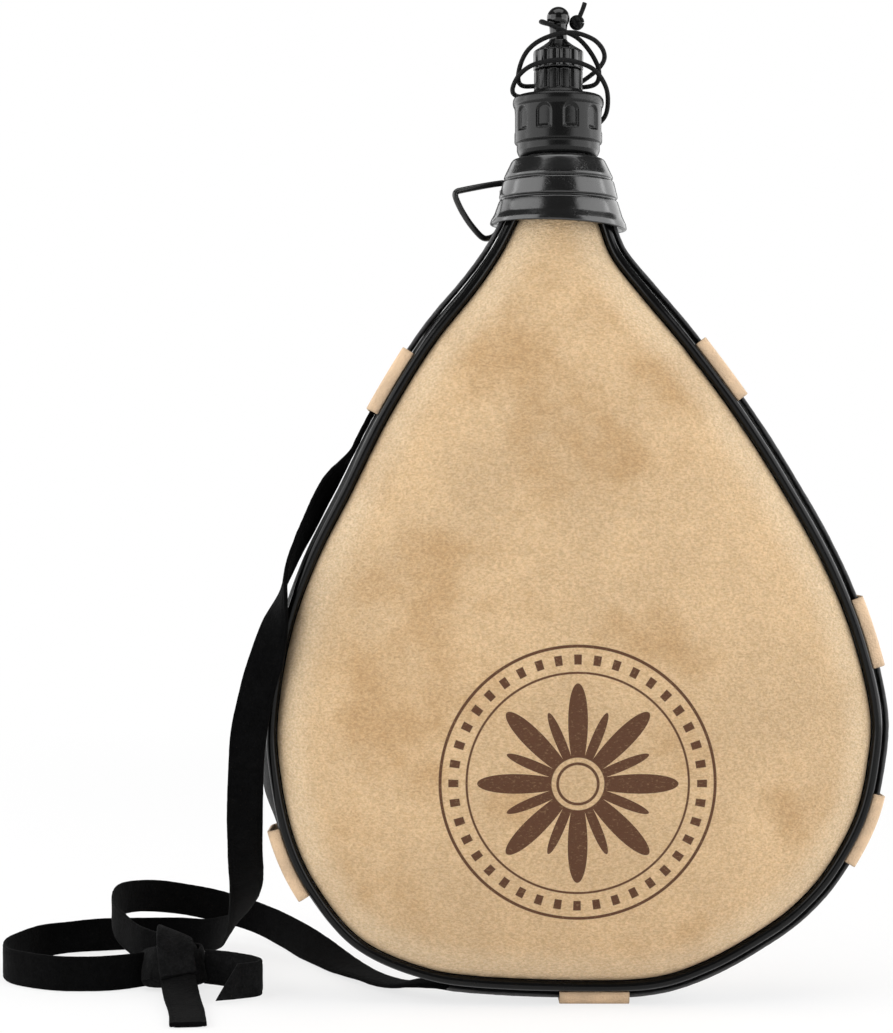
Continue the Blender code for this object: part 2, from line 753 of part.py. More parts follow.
def ring_mesh(name, rows, sides):
    """Join oval rings, each a half width, half depth and height, round and back to the first."""
    sections = []
    for step in range(sides):
        angle = math.tau * step / sides
        sections.append([(half_width * math.cos(angle), half_depth * math.sin(angle),
                          height - droop * ((1 + math.cos(angle)) / 2) ** 2)
                         for half_width, half_depth, height, droop in rows])
    sections.append(sections[0])
    mesh = grid_mesh(name, sections, True)
    cage = bmesh.new()
    cage.from_mesh(mesh)
    bmesh.ops.remove_doubles(cage, verts=cage.verts, dist=MERGE_DISTANCE)
    bmesh.ops.recalc_face_normals(cage, faces=cage.faces)
    cage.to_mesh(mesh)
    cage.free()
    return mesh


def turned_object(name, profile, closed, sides, collection, material):
    """Turn a profile of radius and height round the closure's axis."""
    edges = [(index, index + 1) for index in range(len(profile) - 1)]
    if closed:
        edges.append((len(profile) - 1, 0))
    mesh = bpy.data.meshes.new(name)
    mesh.from_pydata([(radius, 0.0, height) for radius, height in profile], edges, [])
    item = add_object(name, mesh, collection, material)
    item.location = (NECK_X, 0.0, 0.0)
    screw = item.modifiers.new("Screw", "SCREW")
    screw.angle = math.tau
    screw.steps = sides
    screw.render_steps = sides
    screw.use_merge_vertices = True
    screw.merge_threshold = MERGE_DISTANCE
    screw.use_smooth_shade = True
    return item


def tube_object(name, points, radius, resolution, collection, material):
    """Make a round tube with closed ends along the points."""
    curve = bpy.data.curves.new(name, "CURVE")
    curve.dimensions = "3D"
    curve.bevel_depth = radius
    curve.bevel_resolution = resolution
    curve.use_fill_caps = True
    spline = curve.splines.new("POLY")
    spline.points.add(len(points) - 1)
    for knot, point in zip(spline.points, points):
        knot.co = (point[0], point[1], point[2], 1.0)
    item = bpy.data.objects.new(name, curve)
    collection.objects.link(item)
    if material is not None:
        curve.materials.append(material)
    return item


def as_mesh_object(item, collection):
    """Replace a curve object by its mesh, with its ends welded on."""
    name = item.name
    bpy.context.view_layer.update()
    depsgraph = bpy.context.evaluated_depsgraph_get()
    mesh = bpy.data.meshes.new_from_object(item.evaluated_get(depsgraph))
    cage = bmesh.new()
    cage.from_mesh(mesh)
    bmesh.ops.remove_doubles(cage, verts=cage.verts, dist=MERGE_DISTANCE)
    bmesh.ops.recalc_face_normals(cage, faces=cage.faces)
    cage.to_mesh(mesh)
    cage.free()
    place = item.matrix_world.copy()
    bpy.data.objects.remove(item, do_unlink=True)
    replacement = bpy.data.objects.new(name, mesh)
    collection.objects.link(replacement)
    replacement.matrix_world = place
    return replacement


def hide_guide(item):
    """Mark a cutter or an added form so that it isn't a piece of its own."""
    item.hide_render = True
    item.display_type = "WIRE"


def combine(item, guide, operation):
    """Cut a guide from an object, or add it."""
    hide_guide(guide)
    change = item.modifiers.new(guide.name, "BOOLEAN")
    change.operation = operation
    change.object = guide
    change.solver = "EXACT"


def helix_points(radius, low, pitch, turns, points_per_turn):
    """Give the points of a right-handed thread."""
    count = round(turns * points_per_turn)
    points = []
    for step in range(count + 1):
        turn = step / points_per_turn
        points.append((radius * math.cos(math.tau * turn), radius * math.sin(math.tau * turn),
                       low + pitch * turn))
    return points


def add_thread(item, points, ridge, guides):
    """Join a round thread ridge to a turned piece."""
    name = item.name + "_thread"
    tube = tube_object(name, points, ridge, 1, guides, None)
    tube.location = (NECK_X, 0.0, 0.0)
    combine(item, as_mesh_object(tube, guides), "UNION")


def ring_of_copies(name, mesh, count, turn, collection):
    """Repeat a mesh round the closure's axis, as one guide."""
    cage = bmesh.new()
    for step in range(count):
        cage.from_mesh(mesh)
        fresh = list(cage.verts)[-len(mesh.vertices):]
        angle = turn + math.tau * step / count
        bmesh.ops.transform(cage, matrix=Matrix.Rotation(angle, 4, "Z"), verts=fresh)
    result = bpy.data.meshes.new(name)
    cage.to_mesh(result)
    cage.free()
    item = bpy.data.objects.new(name, result)
    item.location = (NECK_X, 0.0, 0.0)
    collection.objects.link(item)
    return item


def make_panel(name, side, parts, material):
    """Make one domed leather panel. Side is -1 in front and 1 behind."""
    rows = []
    for down in eased_shares(PANEL_ROWS):
        row = []
        for across in eased_shares(PANEL_COLUMNS):
            rise = DOME_HEIGHT * panel_height(across, down)
            depth = row_seam_depth(across, down) - PANEL_SET_BACK + rise
            row.append(panel_place(across, down, 0.0) + DEPTH_AXIS * side * depth)
        if side > 0:
            row.reverse()
        rows.append(row)
    mesh = grid_mesh(name, rows, False)
    mesh.shade_smooth()
    thicken(add_object(name, mesh, parts, material), LEATHER_THICKNESS)


def make_liner(parts, material):
    """Make the bladder, round in the neck and flat at its edges below."""
    rows = []
    for down in eased_shares(LINER_ROWS):
        drop = EDGE.length * LEFT_CORNER_SHARE * down
        spread = ease(drop, LINER_ROUND_START, LINER_ROUND_END)
        halves = []
        for side in (-1, 1):
            half = []
            for step, across in enumerate(eased_shares(LINER_COLUMNS)):
                flat = panel_place(across, down, LINER_INSET * spread)
                rise = max(DOME_HEIGHT * panel_height(across, down) - LINER_DOME_GAP, 0.0)
                depth = row_seam_depth(across, down) - LINER_EDGE_GAP + rise
                wide = flat + DEPTH_AXIS * side * depth
                angle = math.pi * step / LINER_COLUMNS
                neck = np.array([NECK_X - LINER_NECK_RADIUS * math.cos(angle),
                                 side * LINER_NECK_RADIUS * math.sin(angle), flat[2]])
                half.append(neck * (1 - spread) + wide * spread - np.array(
                    [0.0, 0.0, LINER_NECK_DROP * (1 - down)]))
            halves.append(half)
        rows.append(halves[0] + halves[1][::-1])
    mesh = grid_mesh("liner", rows, True)
    cage = bmesh.new()
    cage.from_mesh(mesh)
    cage.verts.ensure_lookup_table()
    count = len(rows[0])
    start = len(cage.verts) - count
    for column in range(LINER_COLUMNS):
        cage.faces.new([cage.verts[start + column], cage.verts[start + count - 1 - column],
                        cage.verts[start + count - 2 - column],
                        cage.verts[start + column + 1]])
    bmesh.ops.remove_doubles(cage, verts=cage.verts, dist=MERGE_DISTANCE)
    bmesh.ops.recalc_face_normals(cage, faces=cage.faces)
    cage.to_mesh(mesh)
    cage.free()
    mesh.shade_smooth()
    solid = add_object("liner", mesh, parts, material).modifiers.new("Solidify", "SOLIDIFY")
    solid.thickness = LINER_THICKNESS
    solid.offset = -1.0


def make_gusset(parts, material):
    """Make the band between the two seams."""
    rows = []
    for distance in edge_stations(0.0, EDGE.length):
        reach = seam_depth(distance) - TRIM_RADIUS - CLEARANCE
        row = []
        for column in range(GUSSET_COLUMNS + 1):
            share = 1 - 2 * column / GUSSET_COLUMNS
            out = GUSSET_OUT + gusset_bulge(distance) * (1 - share ** 2)
            row.append(edge_point(distance, out, reach * share))
        rows.append(row)
    mesh = grid_mesh("gusset_band", rows, False)
    mesh.shade_smooth()
    thicken(add_object("gusset_band", mesh, parts, material), GUSSET_THICKNESS)


def make_trim(name, side, parts, material):
    """Make the bead along one seam."""
    points = []
    for distance in edge_stations(TRIM_SETBACK, EDGE.length - TRIM_SETBACK):
        points.append(edge_point(distance, TRIM_OUT, side * seam_depth(distance)))
    tube_object(name, points, TRIM_RADIUS, 1, parts, material)


def loop_section():
    """Give the outer line of a strap loop, as out and depth."""
    rise = LOOP_OUT - LOOP_FOOT_OUT
    half = [(LOOP_FOOT_OUT + rise * out_share, LOOP_FOOT_DEPTH * depth_share)
            for out_share, depth_share in LOOP_SECTION_SHARES]
    return half + [(out, -depth) for out, depth in reversed(half)]


def make_side_loop(name, parts, material):
    """Make a leather loop that follows the edge."""
    middle = loop_distance(name)
    rows = []
    for station in range(LOOP_STATIONS + 1):
        distance = middle + LOOP_LENGTH * (station / LOOP_STATIONS - 1 / 2)
        rows.append([edge_point(distance, out, depth) for out, depth in loop_section()])
    mesh = grid_mesh(name, rows, False)
    shade_round(mesh)
    thicken(add_object(name, mesh, parts, material), LOOP_THICKNESS)


def make_bottom_loop(parts, material):
    """Make the loop that the bag stands on, straight and flat underneath."""
    rows = []
    for end in (-1, 1):
        rows.append([(end * LOOP_LENGTH / 2, depth, LEATHER_BASE - out)
                     for out, depth in loop_section()])
    mesh = grid_mesh("loop_bottom", rows, False)
    shade_round(mesh)
    thicken(add_object("loop_bottom", mesh, parts, material), LOOP_THICKNESS)


def ribbon_section(centre, across, out):
    """Give the four corners of the strap at one place."""
    wide = across * STRAP_WIDTH / 2
    thick = out * STRAP_THICKNESS / 2
    return [centre + wide + thick, centre - wide + thick, centre - wide - thick,
            centre + wide - thick]


def held_centre(distance):
    """Give the strap's middle where it lies on the gusset."""
    out = GUSSET_OUT + strap_bulge(distance) + CLEARANCE + STRAP_THICKNESS / 2
    return edge_point(distance, out, 0.0)


def make_held_strap(name, start, end, parts, material):
    """Make a length of strap that lies on the gusset."""
    sections = []
    for distance in edge_stations(start, end):
        sections.append(ribbon_section(held_centre(distance), DEPTH_AXIS,
                                       EDGE.outward(distance)))
    mesh = loft_mesh(name, sections)
    shade_round(mesh)
    add_object(name, mesh, parts, material)


def make_free_strap(name, route, stations, parts, material):
    """Make a free length of strap along its route and print how long it is."""
    line = Line([place for place, _ in route], [width for _, width in route])
    sections = []
    for station in range(stations + 1):
        distance = line.length * station / stations
        along = line.heading(distance)
        across = line.value(distance)
        across = across - along * np.dot(across, along)
        across = across / np.linalg.norm(across)
        sections.append(ribbon_section(line.place(distance), across, np.cross(along, across)))
    mesh = loft_mesh(name, sections)
    shade_round(mesh)
    add_object(name, mesh, parts, material)
    print(name, "length", round(float(line.length), 4))


def strap_ends():
    """Give where the held lengths of strap begin and end along the outline."""
    left_end = loop_distance("loop_left_upper") + LOOP_LENGTH / 2 + STRAP_LEFT_TAIL
    low_start = EDGE.lowest - STRAP_LOW_LEAD
    return STRAP_SETBACK, left_end, low_start, EDGE.length - STRAP_SETBACK


def make_straps(parts, material):
    """Make the strap's held and free lengths, its knot and its tails."""
    left_start, left_end, low_start, right_end = strap_ends()
    make_held_strap("strap_left_run", left_start, left_end, parts, material)
    make_held_strap("strap_right_run", low_start, right_end, parts, material)
    across = tuple(DEPTH_AXIS)
    facing = tuple(-DEPTH_AXIS)
    left_way = EDGE.heading(left_end)
    low_way = -EDGE.heading(low_start)
    left_lead = [(tuple(held_centre(left_end) + left_way * step), facing)
                 for step in (CLEARANCE, STRAP_LEAD)]
    low_lead = [(tuple(held_centre(low_start) + low_way * step), across)
                for step in (CLEARANCE, STRAP_LEAD)]
    make_free_strap("strap_hanging_run", left_lead + HANGING_ROUTE, HANGING_STATIONS, parts,
                    material)
    make_free_strap("strap_back_run", low_lead + BACK_ROUTE, BACK_STATIONS, parts, material)
    make_free_strap("strap_tail_front", TAIL_FRONT_ROUTE, TAIL_FRONT_STATIONS, parts, material)
    make_free_strap("strap_tail_right", TAIL_RIGHT_ROUTE, TAIL_RIGHT_STATIONS, parts, material)
    make_lump("strap_knot", KNOT_CENTRE, KNOT_SIZE, KNOT_SQUARENESS, parts, material)


def make_lump(name, centre, size, squareness, parts, material):
    """Make a rounded lump from a ball that is pulled towards a box."""
    mesh = bpy.data.meshes.new(name)
    cage = bmesh.new()
    bmesh.ops.create_uvsphere(cage, u_segments=14, v_segments=9, radius=1)
    for vertex in cage.verts:
        place = vertex.co
        vertex.co = Vector([math.copysign(abs(value) ** squareness, value) * length / 2
                            for value, length in zip(place, size)])
    cage.to_mesh(mesh)
    cage.free()
    mesh.shade_smooth()
    item = add_object(name, mesh, parts, material)
    item.location = centre
    return item


def make_clamp(parts, material):
    """Make the clamp round the neck."""
    top = NECK_TOP - CLAMP_SETBACK
    low = top - CLAMP_HEIGHT
    outer = (CLAMP_HALF_WIDTH + CLAMP_THICKNESS, CLAMP_HALF_DEPTH + CLAMP_THICKNESS)
    inner = (CLAMP_HALF_WIDTH, CLAMP_HALF_DEPTH)
    rows = [outer + (top, 0.0), outer + (low, 0.0), inner + (low, 0.0), inner + (top, 0.0)]
    mesh = ring_mesh("neck_clamp", rows, CLAMP_SIDES)
    shade_round(mesh)
    add_object("neck_clamp", mesh, parts, material).location = (NECK_X, 0.0, 0.0)


def collar_radii():
    """Give the collar's radius at its top and at its rim."""
    top_radius = CLAMP_HALF_WIDTH + CLAMP_THICKNESS - COLLAR_TOP_INSET
    rim_z = COLLAR_TOP - COLLAR_HEIGHT
    left_side = EDGE.places[:EDGE_STATIONS // 2][::-1]
    leather_reach = NECK_X - np.interp(rim_z, left_side[:, 2], left_side[:, 0])
    strap_reach = leather_reach + GUSSET_OUT + NECK_BULGE + CLEARANCE + STRAP_THICKNESS
    return top_radius, strap_reach + COLLAR_RIM_ROOM + COLLAR_RIM_WALL


def make_collar(parts, guides, material):
    """Make the collar with the sleeve that holds the wire loop."""
    top_radius, rim_radius = collar_radii()

    def ring(down_share, radius_share):
        radius = top_radius + (rim_radius - top_radius) * radius_share
        depth = radius * (1 - (1 - COLLAR_DEPTH_SHARE) * down_share)
        height = COLLAR_TOP - COLLAR_HEIGHT * down_share
        return radius, depth, height, COLLAR_DROOP * down_share ** 4

    rows = [ring(down, out) for down, out in COLLAR_OUTER_SHARES]
    rows += [ring(down, out) for down, out in COLLAR_INNER_SHARES]
    shoulder_z = NECK_TOP + CLEARANCE + SPOUT_FLANGE_THICKNESS + CLEARANCE
    shoulder = ring((COLLAR_TOP - shoulder_z) / COLLAR_HEIGHT, COLLAR_SHOULDER_SHARE)
    bore = SPOUT_BODY_RADIUS + CLEARANCE
    rows += [shoulder, (bore, bore, shoulder_z, 0.0), (bore, bore, COLLAR_TOP, 0.0)]
    mesh = ring_mesh("collar", rows, COLLAR_SIDES)
    shade_round(mesh)
    collar = add_object("collar", mesh, parts, material)
    collar.location = (NECK_X, 0.0, 0.0)
    place = (NECK_X + SLEEVE_X, SLEEVE_Y, SLEEVE_MIDDLE_Z)
    sleeve = make_sleeve_solid("collar_sleeve", SLEEVE_RADIUS, SLEEVE_LENGTH, place, guides)
    web = make_sleeve_web(place, guides)
    wire_bore = make_sleeve_solid("collar_sleeve_bore", WIRE_RADIUS + CLEARANCE,
                                  SLEEVE_LENGTH + OVERRUN, place, guides)
    combine(collar, web, "UNION")
    combine(collar, sleeve, "UNION")
    combine(collar, wire_bore, "DIFFERENCE")


def make_sleeve_solid(name, radius, length, place, guides):
    """Make an upright cylinder for the wire's sleeve."""
    mesh = bpy.data.meshes.new(name)
    cage = bmesh.new()
    bmesh.ops.create_cone(cage, cap_ends=True, segments=SLEEVE_SIDES, radius1=radius,
                          radius2=radius, depth=length)
    cage.to_mesh(mesh)
    cage.free()
    item = add_object(name, mesh, guides, None)
    item.location = place
    return item


def make_sleeve_web(place, guides):
    """Make the web between the wire's sleeve and the collar's wall."""
    mesh = bpy.data.meshes.new("collar_sleeve_web")
    cage = bmesh.new()
    bmesh.ops.create_cube(cage, size=1)
    bmesh.ops.scale(cage, verts=cage.verts,
                    vec=(SLEEVE_WEB_LENGTH, SLEEVE_WEB_WIDTH, SLEEVE_LENGTH - OVERRUN))
    bmesh.ops.translate(cage, verts=cage.verts, vec=(-SLEEVE_WEB_LENGTH / 2, 0.0, 0.0))
    cage.to_mesh(mesh)
    cage.free()
    item = add_object("collar_sleeve_web", mesh, guides, None)
    item.location = place
    item.rotation_euler = (0.0, 0.0, math.atan2(SLEEVE_Y, SLEEVE_X))
    return item


def make_hang_loop(parts, material):
    """Make the wire loop, whose two ends sit in the sleeve."""
    top_end = [(0.0, 0.0, WIRE_END_GAP / 2)]
    low_end = [(0.0, 0.0, -WIRE_END_GAP / 2)]
    line = Line(top_end + WIRE_ROUTE + low_end)
    points = [line.place(line.length * step / WIRE_POINTS) for step in range(WIRE_POINTS + 1)]
    item = tube_object("hang_loop", points, WIRE_RADIUS, 2, parts, material)
    item.location = (NECK_X + SLEEVE_X, SLEEVE_Y, SLEEVE_MIDDLE_Z)


def make_spout(parts, guides, material):
    """Make the spout with its thread."""
    flange_low = NECK_TOP + CLEARANCE
    flange_top = flange_low + SPOUT_FLANGE_THICKNESS
    low = NECK_TOP - SPOUT_BARREL_LENGTH
    profile = [
        (SPOUT_NECK_RADIUS - SPOUT_RIM_BEVEL, SPOUT_RIM),
        (SPOUT_NECK_RADIUS, SPOUT_RIM - SPOUT_RIM_BEVEL),
        (SPOUT_NECK_RADIUS, SPOUT_BODY_TOP),
        (SPOUT_BODY_RADIUS, SPOUT_BODY_TOP),
        (SPOUT_BODY_RADIUS, flange_top),
        (SPOUT_FLANGE_RADIUS, flange_top),
        (SPOUT_FLANGE_RADIUS, flange_low),
        (SPOUT_BARREL_RADIUS, flange_low),
        (SPOUT_BARREL_RADIUS, low),
        (SPOUT_BORE_RADIUS, low),
        (SPOUT_BORE_RADIUS, SPOUT_RIM),
    ]
    spout = turned_object("spout", profile, True, SPOUT_SIDES, parts, material)
    points = helix_points(SPOUT_NECK_RADIUS, SPOUT_BODY_TOP + THREAD_START, THREAD_PITCH,
                          THREAD_TURNS, THREAD_POINTS_PER_TURN)
    add_thread(spout, points, THREAD_RIDGE, guides)


def make_gasket(parts, material):
    """Make the flat ring between the spout's rim and the nozzle."""
    outer = SPOUT_NECK_RADIUS
    top = GASKET_LOW + GASKET_THICKNESS
    profile = [(outer, top), (outer, GASKET_LOW), (GASKET_BORE_RADIUS, GASKET_LOW),
               (GASKET_BORE_RADIUS, top)]
    turned_object("cap_gasket", profile, True, GASKET_SIDES, parts, material)


def make_nozzle(parts, guides, material):
    """Make the drinking nozzle with its fine bore and threaded tip."""
    flange_top = NOZZLE_LOW + NOZZLE_FLANGE_THICKNESS
    tube_top = FOOT_TOP - CLEARANCE
    profile = [
        (NOZZLE_TIP_RADIUS, NOZZLE_TIP_TOP),
        (NOZZLE_TIP_RADIUS, tube_top),
        (NOZZLE_TUBE_RADIUS, tube_top),
        (NOZZLE_TUBE_RADIUS, flange_top),
        (NOZZLE_FLANGE_RADIUS, flange_top),
        (NOZZLE_FLANGE_RADIUS, NOZZLE_LOW),
        (NOZZLE_BORE_RADIUS, NOZZLE_LOW),
        (NOZZLE_BORE_RADIUS, NOZZLE_TIP_TOP),
    ]
    nozzle = turned_object("drinking_nozzle", profile, True, NOZZLE_SIDES, parts, material)
    points = helix_points(NOZZLE_TIP_RADIUS, FOOT_TOP + TIP_THREAD_START, TIP_THREAD_PITCH,
                          TIP_THREAD_TURNS, TIP_THREAD_POINTS_PER_TURN)
    add_thread(nozzle, points, TIP_THREAD_RIDGE, guides)


def make_flute_cutter(guides):
    """Make the arch-topped cutters of the cap's flutes."""
    radius = FLUTE_WIDTH / 2
    crown = FLUTE_TOP - radius
    outline = [(-radius, FLUTE_LOW), (radius, FLUTE_LOW)]
    for step in range(FLUTE_ARC_POINTS + 1):
        angle = math.pi * step / FLUTE_ARC_POINTS
        outline.append((radius * math.cos(angle), crown + radius * math.sin(angle)))
    curve = bpy.data.curves.new("cap_flute", "CURVE")
    curve.dimensions = "2D"
    curve.fill_mode = "BOTH"
    curve.extrude = OVERRUN / 2
    spline = curve.splines.new("POLY")
    spline.points.add(len(outline) - 1)
    for knot, point in zip(spline.points, outline):
        knot.co = (point[0], point[1], 0.0, 1.0)
    spline.use_cyclic_u = True
    item = bpy.data.objects.new("cap_flute", curve)
    guides.objects.link(item)
    flute = as_mesh_object(item, guides)
    floor = CAP_BODY_RADIUS - FLUTE_DEPTH
    stand = Matrix.Translation((0.0, -(floor + OVERRUN / 2), CAP_LOW))
    flute.data.transform(stand @ Matrix.Rotation(math.pi / 2, 4, "X"))
    cutter = ring_of_copies("cap_flutes", flute.data, FLUTE_COUNT, FLUTE_TURN, guides)
    bpy.data.objects.remove(flute, do_unlink=True)
    return cutter


def make_grip_cutter(name, radius, low, top, guides):
    """Make upright cutters for the grooves of a grip."""
    mesh = bpy.data.meshes.new(name + "_groove")
    cage = bmesh.new()
    bmesh.ops.create_cone(cage, cap_ends=True, segments=GRIP_GROOVE_SIDES,
                          radius1=GRIP_GROOVE_RADIUS, radius2=GRIP_GROOVE_RADIUS,
                          depth=top - low)
    bmesh.ops.translate(cage, verts=cage.verts,
                        vec=(radius + GRIP_GROOVE_OUT, 0.0, (low + top) / 2))
    cage.to_mesh(mesh)
    cage.free()
    return ring_of_copies(name, mesh, GRIP_COUNT, 0.0, guides)


def make_cap(parts, guides, material):
    """Make the filling cap and the foot on its top."""

    def height(share):
        return CAP_LOW + CAP_HEIGHT * share

    profile = [
        (FOOT_RADIUS, FOOT_TOP),
        (FOOT_RADIUS, CAP_TOP + FOOT_FLARE_HEIGHT),
        (FOOT_FLARE_RADIUS, CAP_TOP),
    ]
    bead = CAP_BODY_RADIUS + CAP_BEAD_OUT
    profile += [(bead * out, height(share)) for share, out in CAP_OUTER_SHARES]
    profile += [
        (CAP_BODY_RADIUS, height(CAP_BODY_TOP_SHARE)),
        (CAP_BODY_RADIUS, height(CAP_BODY_LOW_SHARE)),
        (CAP_BAND_RADIUS, height(CAP_BAND_TOP_SHARE)),
        (CAP_BAND_RADIUS, height(CAP_BAND_LOW_SHARE)),
        ((CAP_BAND_RADIUS + CAP_BORE_RADIUS + CAP_LIP_WALL) / 2, height(CAP_TAPER_SHARE)),
        (CAP_BORE_RADIUS + CAP_LIP_WALL, CAP_LOW),
        (CAP_BORE_RADIUS, CAP_LOW),
        (CAP_BORE_RADIUS, CAP_CEILING_Z),
        (FOOT_BORE_RADIUS, CAP_CEILING_Z),
        (FOOT_BORE_RADIUS, FOOT_TOP),
    ]
    cap = turned_object("filling_cap", profile, True, CAP_SIDES, parts, material)
    points = helix_points(CAP_BORE_RADIUS, SPOUT_BODY_TOP + THREAD_START + THREAD_PITCH / 2,
                          THREAD_PITCH, CAP_THREAD_TURNS, THREAD_POINTS_PER_TURN)
    add_thread(cap, points, THREAD_RIDGE, guides)
    combine(cap, make_flute_cutter(guides), "DIFFERENCE")
    grooves = make_grip_cutter("foot_grooves", FOOT_RADIUS,
                               CAP_TOP + FOOT_FLARE_HEIGHT + GRIP_MARGIN,
                               FOOT_TOP + OVERRUN, guides)
    combine(cap, grooves, "DIFFERENCE")


def make_stopper(parts, guides, material):
    """Make the stopper with its hollow head, stem and ball."""
    stem_angle = math.asin(STOPPER_STEM_RADIUS / STOPPER_BALL_RADIUS)
    profile = []
    for step in range(STOPPER_BALL_STEPS + 1):
        angle = (math.pi - stem_angle) * step / STOPPER_BALL_STEPS
        profile.append((STOPPER_BALL_RADIUS * math.sin(angle),
                        STOPPER_BALL_Z + STOPPER_BALL_RADIUS * math.cos(angle)))
    spread = STOPPER_HEAD_RADIUS - STOPPER_STEM_RADIUS
    profile.append((STOPPER_STEM_RADIUS, STOPPER_HEAD_TOP + STOPPER_DOME_HEIGHT))
    for drop_share, out_share in STOPPER_DOME_SHARES:
        profile.append((STOPPER_STEM_RADIUS + spread * out_share,
                        STOPPER_HEAD_TOP + STOPPER_DOME_HEIGHT * (1 - out_share) ** 1.5
                        - STOPPER_DOME_HEIGHT * drop_share * out_share / 4))
    profile += [
        (STOPPER_HEAD_RADIUS, STOPPER_HEAD_TOP - STOPPER_DOME_HEIGHT / 4),
        (STOPPER_HEAD_RADIUS, STOPPER_LOW),
        (STOPPER_BORE_RADIUS, STOPPER_LOW),
        (STOPPER_BORE_RADIUS, STOPPER_CEILING),
        (0.0, STOPPER_CEILING),
    ]
    stopper = turned_object("stopper", profile, False, STOPPER_SIDES, parts, material)
    points = helix_points(STOPPER_BORE_RADIUS,
                          FOOT_TOP + TIP_THREAD_START + TIP_THREAD_PITCH / 2,
                          TIP_THREAD_PITCH, STOPPER_THREAD_TURNS, TIP_THREAD_POINTS_PER_TURN)
    add_thread(stopper, points, TIP_THREAD_RIDGE, guides)
    grooves = make_grip_cutter("stopper_grooves", STOPPER_HEAD_RADIUS,
                               STOPPER_LOW + GRIP_MARGIN,
                               STOPPER_HEAD_TOP - STOPPER_DOME_HEIGHT / 4 - GRIP_MARGIN, guides)
    combine(stopper, grooves, "DIFFERENCE")


def make_seal(parts, material):
    """Make the disc that closes the nozzle's bore."""
    radius = STOPPER_BORE_RADIUS - CLEARANCE
    top = SEAL_LOW + SEAL_THICKNESS
    profile = [(0.0, top), (radius, top), (radius, SEAL_LOW), (0.0, SEAL_LOW)]
    turned_object("stopper_seal", profile, False, SEAL_SIDES, parts, material)


def least_gap(points, radius):
    """Give the least gap between lengths of a tube that aren't next to each other."""
    points = np.array(points)
    steps = np.linalg.norm(np.diff(points, axis=0), axis=1)
    reached = np.concatenate([[0.0], np.cumsum(steps)])
    apart = np.linalg.norm(points[:, None] - points[None, :], axis=2)
    along = abs(reached[:, None] - reached[None, :])
    return apart[along > 2 * math.pi * radius].min() - 2 * radius


def spread_with_cap(points):
    """Move points round the cap outwards or inwards with its body, but none by the stem."""
    places = np.array(points)
    grown = CAP_BODY_RADIUS / CORD_FITS_RADIUS - 1
    share = np.interp(places[:, 2], [CORD_SPREAD_TOP, CORD_STEM_LOW], [1.0, 0.0])
    places[:, :2] *= (1 + grown * share)[:, None]
    return places


def make_cord(parts, guides, material):
    """Make the retaining cord with its turns round the closure, its knot and tail."""
    place = (NECK_X, 0.0, CAP_LOW)
    line = Line(spread_with_cap(CORD_ROUTE))
    points = [line.place(line.length * step / CORD_POINTS) for step in range(CORD_POINTS + 1)]
    cord = tube_object("retaining_cord", points, CORD_RADIUS, 2, parts, material)
    cord.location = place
    gap = least_gap(line.places, CORD_RADIUS)
    print("retaining_cord length", round(float(line.length), 4), "least gap",
          round(float(gap), 5), "wanted over", CORD_LEAST_GAP)
    centre = spread_with_cap([CORD_KNOT_CENTRE])[0]
    knot = make_lump("retaining_cord_knot", centre, CORD_KNOT_SIZE, 1.0, parts, material)
    knot.location = Vector(place) + Vector(centre)
    tail_line = Line(spread_with_cap(CORD_TAIL_ROUTE))
    tail_points = [tail_line.place(tail_line.length * step / len(CORD_TAIL_ROUTE))
                   for step in range(len(CORD_TAIL_ROUTE) + 1)]
    tail = tube_object("retaining_cord_tail", tail_points, CORD_TAIL_RADIUS, 2, guides, None)
    tail.location = place
    combine(knot, as_mesh_object(tail, guides), "UNION")


def main():
    """Build every piece of the bag."""
    clear_scene()
    parts = new_collection(NAME)
    guides = new_collection(NAME + "_guides")
    leather = new_material("leather", LEATHER_COLOUR, 0.9, 0.0)
    loop_leather = new_material("loop_leather", LOOP_COLOUR, 0.8, 0.0)
    strap = new_material("strap_suede", STRAP_COLOUR, 0.95, 0.0)
    gusset = new_material("gusset_fabric", GUSSET_COLOUR, 0.9, 0.0)
    plastic = new_material("black_plastic", PLASTIC_COLOUR, 0.3, 0.0)
    bead = new_material("black_bead", PLASTIC_COLOUR, 0.25, 0.0)
    cord = new_material("black_cord", CORD_COLOUR, 0.6, 0.0)
    liner = new_material("liner_rubber", LINER_COLOUR, 0.6, 0.0)
    clamp = new_material("clamp_metal", CLAMP_COLOUR, 0.4, 1.0)
    seal = new_material("seal_rubber", SEAL_COLOUR, 0.7, 0.0)
    spout = new_material("spout_plastic", SPOUT_COLOUR, 0.5, 0.0)

    make_panel("front_leather_panel", -1, parts, leather)
    make_panel("back_leather_panel", 1, parts, leather)
    make_liner(parts, liner)
    make_gusset(parts, gusset)
    make_trim("front_edge_trim", -1, parts, bead)
    make_trim("back_edge_trim", 1, parts, bead)
    for name in LOOP_PLACE_SHARES:
        make_side_loop(name, parts, loop_leather)
    make_bottom_loop(parts, loop_leather)
    make_straps(parts, strap)
    make_clamp(parts, clamp)
    make_collar(parts, guides, plastic)
    make_hang_loop(parts, plastic)
    make_spout(parts, guides, spout)
    make_gasket(parts, seal)
    make_nozzle(parts, guides, plastic)
    make_cap(parts, guides, plastic)
    make_stopper(parts, guides, plastic)
    make_seal(parts, seal)
    make_cord(parts, guides, cord)


main()
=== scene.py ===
"""Looks of a leather drinking bag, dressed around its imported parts.

Every length is in metres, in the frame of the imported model: X to the right of the front panel,
Y from the front panel to the back one, Z up from the floor.
"""

import logging
import math
from collections.abc import Callable, Sequence
from dataclasses import dataclass, field
from enum import Enum
from functools import cache
from typing import Any

